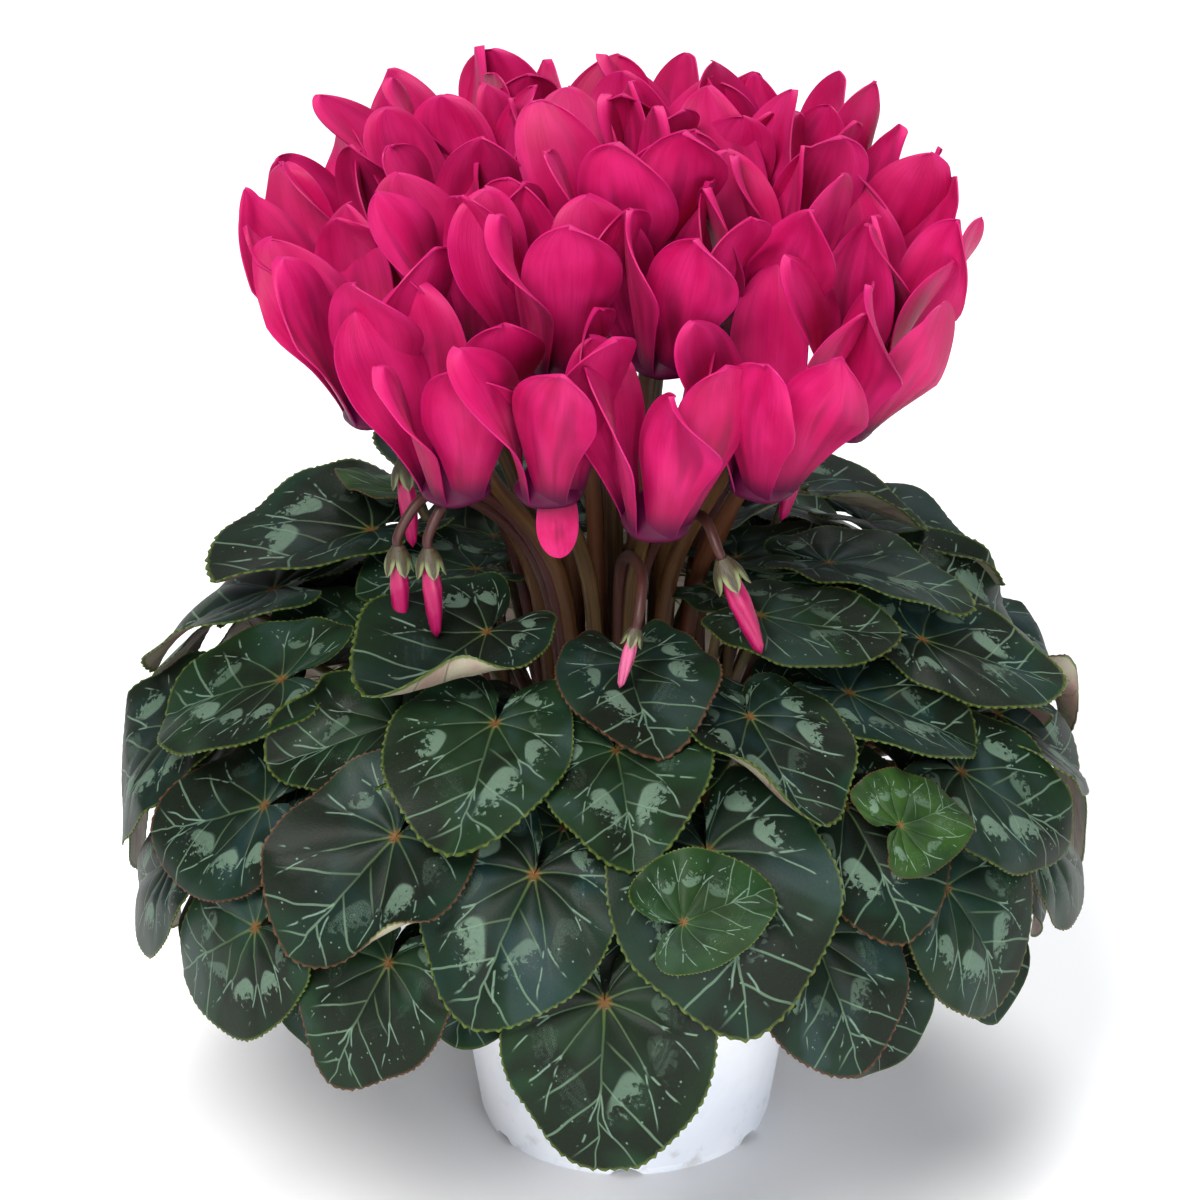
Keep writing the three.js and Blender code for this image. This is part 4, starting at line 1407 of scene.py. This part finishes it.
stemSettings = {
    "sides": 12,
    "rings": 40,
    "rootShare": 0.26,
    "rootHeight": 98,
    "waistShare": 0.2,
    "waistHeight": 190,
    "clearance": 3.4,
    "rootRadius": 2.7,
    "neckRadius": 1.9,
    "tubeLength": 10.5,
    "hookRise": 6,
    "calyxRadius": 3.6,
    "sharpAngle": 60,
    "olive": paint(84, 62, 28),
    "brown": paint(56, 36, 18),
    "red": paint(78, 38, 24),
    "plum": paint(58, 26, 28),
    "calyx": paint(70, 66, 38),
    "calyxDark": paint(44, 26, 24),
    "calyxEdge": paint(118, 128, 84),
}
tuberSettings = {
    "rows": [
        (14, 80.4), (19, 80.6), (22, 85), (24, 91), (23.6, 96), (22, 99), (19, 102.4), (14, 105), (7, 106),
        (1, 106.2),
    ],
    "sides": 64,
    "swell": 0.05,
    "cork": paint(62, 46, 36),
    "dryCork": paint(104, 82, 62),
}


def budMaterial(settings):
    material, tree, shader = newMaterial(
        "budSkin",
        Base_Color=settings["main"],
        Roughness=0.42,
        Subsurface_Weight=0.12,
        Subsurface_Scale=0.0015,
        Subsurface_Radius=(1.0, 0.25, 0.35),
    )
    along, angle, seed = written(tree, "barPlace").parts()
    line = abs(((angle + along * settings["twist"]) * 2.5).maths("SINE"))
    isPale = abs(seed - settings["paleBud"]).fade(0.2, 0.4, 0.85, 0)
    layered(
        settings,
        "main",
        (along.fade(0.0, 0.3, 0.45, 0.0).orMore(isPale), "pale"),
        (line.fade(0.0, 0.3, 0.8, 0), "line"),
    ).into(shader, "Base Color")
    line.emboss(shader, 0.3, 0.3)
    return material


def stemMaterial(settings):
    material, tree, shader = newMaterial(
        "flowerStem", Base_Color=settings["olive"], Roughness=0.46, Specular_IOR_Level=0.3)
    along, angle, seed = written(tree, "barPlace").parts()
    streak = placeOf(angle, along * 5, seed).grain(2.2, 3)
    redness = placeOf(seed, seed, seed).grain(1.7, 0)
    budStem = seed.fade(budSettings["firstStem"] - 1, budSettings["firstStem"], 0, 0.8)
    layered(
        settings,
        "olive",
        (streak.fade(0.35, 0.65), "brown"),
        (redness.fade(0.4, 0.6, 0.0, 0.7), "red"),
        (along.fade(0.75, 1.0, 0, 0.7), "plum"),
        (budStem, "plum"),
    ).into(shader, "Base Color")
    objectPlace(tree).grain(520).emboss(shader, 0.35, 0.25)
    return material


def calyxMaterial(settings):
    material, tree, shader = newMaterial("calyx", Base_Color=settings["calyx"], Roughness=0.55)
    side, up, seed = written(tree, "petalPlace").parts()
    speck = placeOf(side * 4, up, seed).grain(5, 3)
    edge = abs(side).fade(0.3, 0.7) * up.fade(0.3, 0.6) * 0.9
    layered(
        settings,
        "calyx",
        (speck.fade(0.42, 0.6), "calyxDark"),
        (edge, "calyxEdge"),
    ).into(shader, "Base Color")
    speck.emboss(shader, 0.3, 0.2)
    return material


def corkMaterial(settings):
    material, tree, shader = newMaterial("tuberCork", Base_Color=settings["cork"], Roughness=0.9)
    cork = objectPlace(tree).grain(180, 5)
    cork.fade(0.35, 0.65).tint(settings["cork"], settings["dryCork"]).into(shader, "Base Color")
    cork.emboss(shader, 0.8, 0.8)
    return material


budSkin = budMaterial(budSettings)
stemSkin = stemMaterial(stemSettings)
calyxSkin = calyxMaterial(stemSettings)
stemBar = makeRoundBar("stemBar", stemSettings["sides"], stemSettings["rings"])
budBar = makeRoundBar("budBar", budSettings["sides"], budSettings["rings"])
flatSepal = makeFlatSheet("flatSepal", sepalSettings["across"], sepalSettings["upward"], 0)


# Five small pointed sepals round a calyx, which faces down
def makeSepals(seat, down, scale, spread):
    settings = sepalSettings
    first = unit(np.cross(down, [0.3, 0.2, 1.0]))
    second = np.cross(down, first)
    sepals = []
    for number in range(5):
        sepal = copyOf(flatSepal, "sepal")
        side, up = readNumbers(sepal, "petalSide"), readNumbers(sepal, "petalUp")
        width = settings["halfAngle"] * np.clip(1 - up ** 2.4, 0, 1) ** 0.7 + 0.02
        angle = 2 * math.pi * number / 5 + side * width
        bulge = np.sin(0.5 * math.pi * np.minimum(1, up * 1.5))
        radius = (settings["neck"] + spread * bulge + 0.5 * up ** 4) * scale
        height = settings["length"] * scale * up - settings["neck"] * scale
        spots = (seat + height[:, None] * down + (radius * np.cos(angle))[:, None] * first
                 + (radius * np.sin(angle))[:, None] * second)
        movePoints(sepal, spots * mm)
        write(sepal, "petalPlace", side, up, number + 7 * scale)
        thicken(sepal, settings["thickness"])
        sepal.data.materials.append(calyxSkin)
        sepals.append(sepal)
    return sepals


def unit(direction):
    direction = np.array(direction, dtype=float)
    return direction / np.linalg.norm(direction)


def makeBud(row, index):
    settings = budSettings
    seat, direction, _, scale = row
    t = np.linspace(0, 1, settings["rings"] + 1)
    profile = np.interp(t, settings["shares"], settings["radii"])
    path = np.array(seat) + (t * settings["length"] * scale)[:, None] * unit(direction)
    bud = layBar(budBar, f"bud{index + 1}", path, profile * scale, index)
    spots = pointsOf(bud) / mm
    ring = readNumbers(bud, "ringNumber").astype(int)
    swirl = readNumbers(bud, "roundAngle") + settings["twist"] * t[ring]
    furrow = 1 - settings["furrow"] * (1 - np.abs(np.sin(2.5 * swirl))) ** 3
    movePoints(bud, (path[ring] + (spots - path[ring]) * furrow[:, None]) * mm)
    makeActive(bud)
    bpy.ops.object.shade_smooth()
    bud.data.materials.append(budSkin)
    hand(bud, f"bud_{index + 1}")


# A stem laid through points; it narrows to its neck and flares out under its calyx
def layStem(name, points, rootRadius, neckRadius, calyxRadius, seed):
    rings = stemSettings["rings"] + 1
    radii = np.linspace(rootRadius, neckRadius, rings)
    radii[-3:] = [0.5 * (neckRadius + calyxRadius), 0.85 * calyxRadius, calyxRadius]
    stem = layBar(stemBar, name, smoothPath(points, rings), radii, seed)
    stem.data.materials.append(stemSkin)
    return stem


def makeStem(bloom):
    settings = stemSettings
    shift = domeSettings["crownShift"]
    around = bloom["azimuth"]
    rootReach = settings["rootShare"] * math.hypot(bloom["mouth"][0] - shift, bloom["mouth"][1])
    root = np.array([
        shift / 2 + rootReach * math.cos(around), rootReach * math.sin(around), settings["rootHeight"]])
    passing = petalSettings["mouthRadius"] + settings["clearance"]
    seat = settings["tubeLength"] + budSettings["seatGap"]

    def beside(radius, height):
        return bloomPoints(bloom, np.array([radius]), np.array([0.0]), np.array([height]))[0]

    middle = root + settings["waistShare"] * (beside(passing, 0) - root)
    middle[2] = settings["waistHeight"]
    points = [
        root,
        middle,
        beside(passing, 0),
        beside(0.86 * passing, seat),
        beside(0.4 * passing, seat + settings["hookRise"]),
        beside(0, seat + budSettings["calyxDepth"]),
        beside(0, seat),
    ]
    radii = settings["rootRadius"], settings["neckRadius"], settings["calyxRadius"]
    stem = layStem("stem", points, *radii, bloom["index"])
    sepals = makeSepals(
        beside(0, seat - 0.4), -bloom["axis"], sepalSettings["bloomScale"], sepalSettings["bloomSpread"])
    return [stem] + sepals


def makeBudStem(row, index):
    settings = budSettings
    seatSpot, direction, hookTop, scale = row
    up = -unit(direction)
    seat = np.array(seatSpot) + settings["seatGap"] * up
    shift = domeSettings["crownShift"]
    around = math.atan2(hookTop[1], hookTop[0] - shift)
    outward = np.array([math.cos(around), math.sin(around), 0])
    root = np.array([shift / 2, 0, settings["rootHeight"]]) + settings["stemRing"] * outward
    kneeHeight = stemSettings["waistHeight"] + settings["kneeRise"]
    knee = np.array([shift, 0, kneeHeight]) + settings["kneeRing"] * outward
    points = [root, knee, hookTop, seat + (settings["calyxDepth"] + 1) * up, seat]
    radii = settings["stemRadius"], settings["neckRadius"], settings["calyxRadius"] * scale
    stem = layStem("budStem", points, *radii, settings["firstStem"] + index)
    return [stem] + makeSepals(np.array(seatSpot, dtype=float), -up, scale, sepalSettings["budSpread"])


def makeTuber(settings):
    tuber = makeTurned("tuber", settings["rows"], settings["sides"])
    spots = pointsOf(tuber)
    for spot in spots:
        spot[:2] *= 1 + settings["swell"] * noise.noise(Vector(spot) * 90)
    movePoints(tuber, spots)
    write(tuber, "barPlace", 0, 0, 0)
    tuber.data.materials.append(corkMaterial(settings))
    return tuber


for index, row in enumerate(buds):
    makeBud(row, index)
print("buds done")

stemPieces = [makeTuber(tuberSettings)]
for bloom in bloomList:
    stemPieces += makeStem(bloom)
for index, row in enumerate(buds):
    stemPieces += makeBudStem(row, index)
stems = joinAll(stemPieces, "tuberAndStems", stemSettings["sharpAngle"])
hand(stems, "tuber_and_stems")
for master in (flatBlade, hiddenBlade, petioleBar, flatPetal, tubeBar, stemBar, budBar, flatSepal):
    bpy.data.objects.remove(master)
print("stems done")

# Floor and light: a pale sweep under soft studio light
studioSettings = {
    "floorSize": 12,
    "floor": paint(250, 250, 250),
    "world": paint(238, 242, 250),
    "worldStrength": 0.34,
    "aim": (0, 0, 0.2),
    # name, place in metres, size, watts, colour
    "lamps": [
        ("keyLamp", (-0.7, -1.5, 2.0), 1.3, 68, (1.0, 0.99, 0.97)),
        ("fillLamp", (0.6, -1.95, 0.32), 1.4, 30, (0.93, 0.96, 1.0)),
        ("topLamp", (0.3, 0.9, 2.2), 1.4, 40, (1.0, 1.0, 1.0)),
    ],
}


def makeStudio(settings):
    floor = startShape("studioFloor", bpy.ops.mesh.primitive_plane_add, size=settings["floorSize"])
    floor.data.materials.append(newMaterial("studioPaper", Base_Color=settings["floor"], Roughness=0.9)[0])
    world = bpy.data.worlds.new("studioLight")
    world.use_nodes = True
    sky = world.node_tree.nodes["Background"]
    sky.inputs["Color"].default_value = settings["world"]
    sky.inputs["Strength"].default_value = settings["worldStrength"]
    bpy.context.scene.world = world
    for name, spot, size, power, colour in settings["lamps"]:
        aim = (Vector(settings["aim"]) - Vector(spot)).to_track_quat("-Z", "Y").to_euler()
        bpy.ops.object.light_add(type="AREA", location=spot, rotation=aim)
        lamp = bpy.context.object
        lamp.name = name
        lamp.data.shape = "DISK"
        lamp.data.size = size
        lamp.data.energy = power
        lamp.data.color = colour
    bpy.context.scene.view_settings.view_transform = "Standard"


makeStudio(studioSettings)
print("studio done")
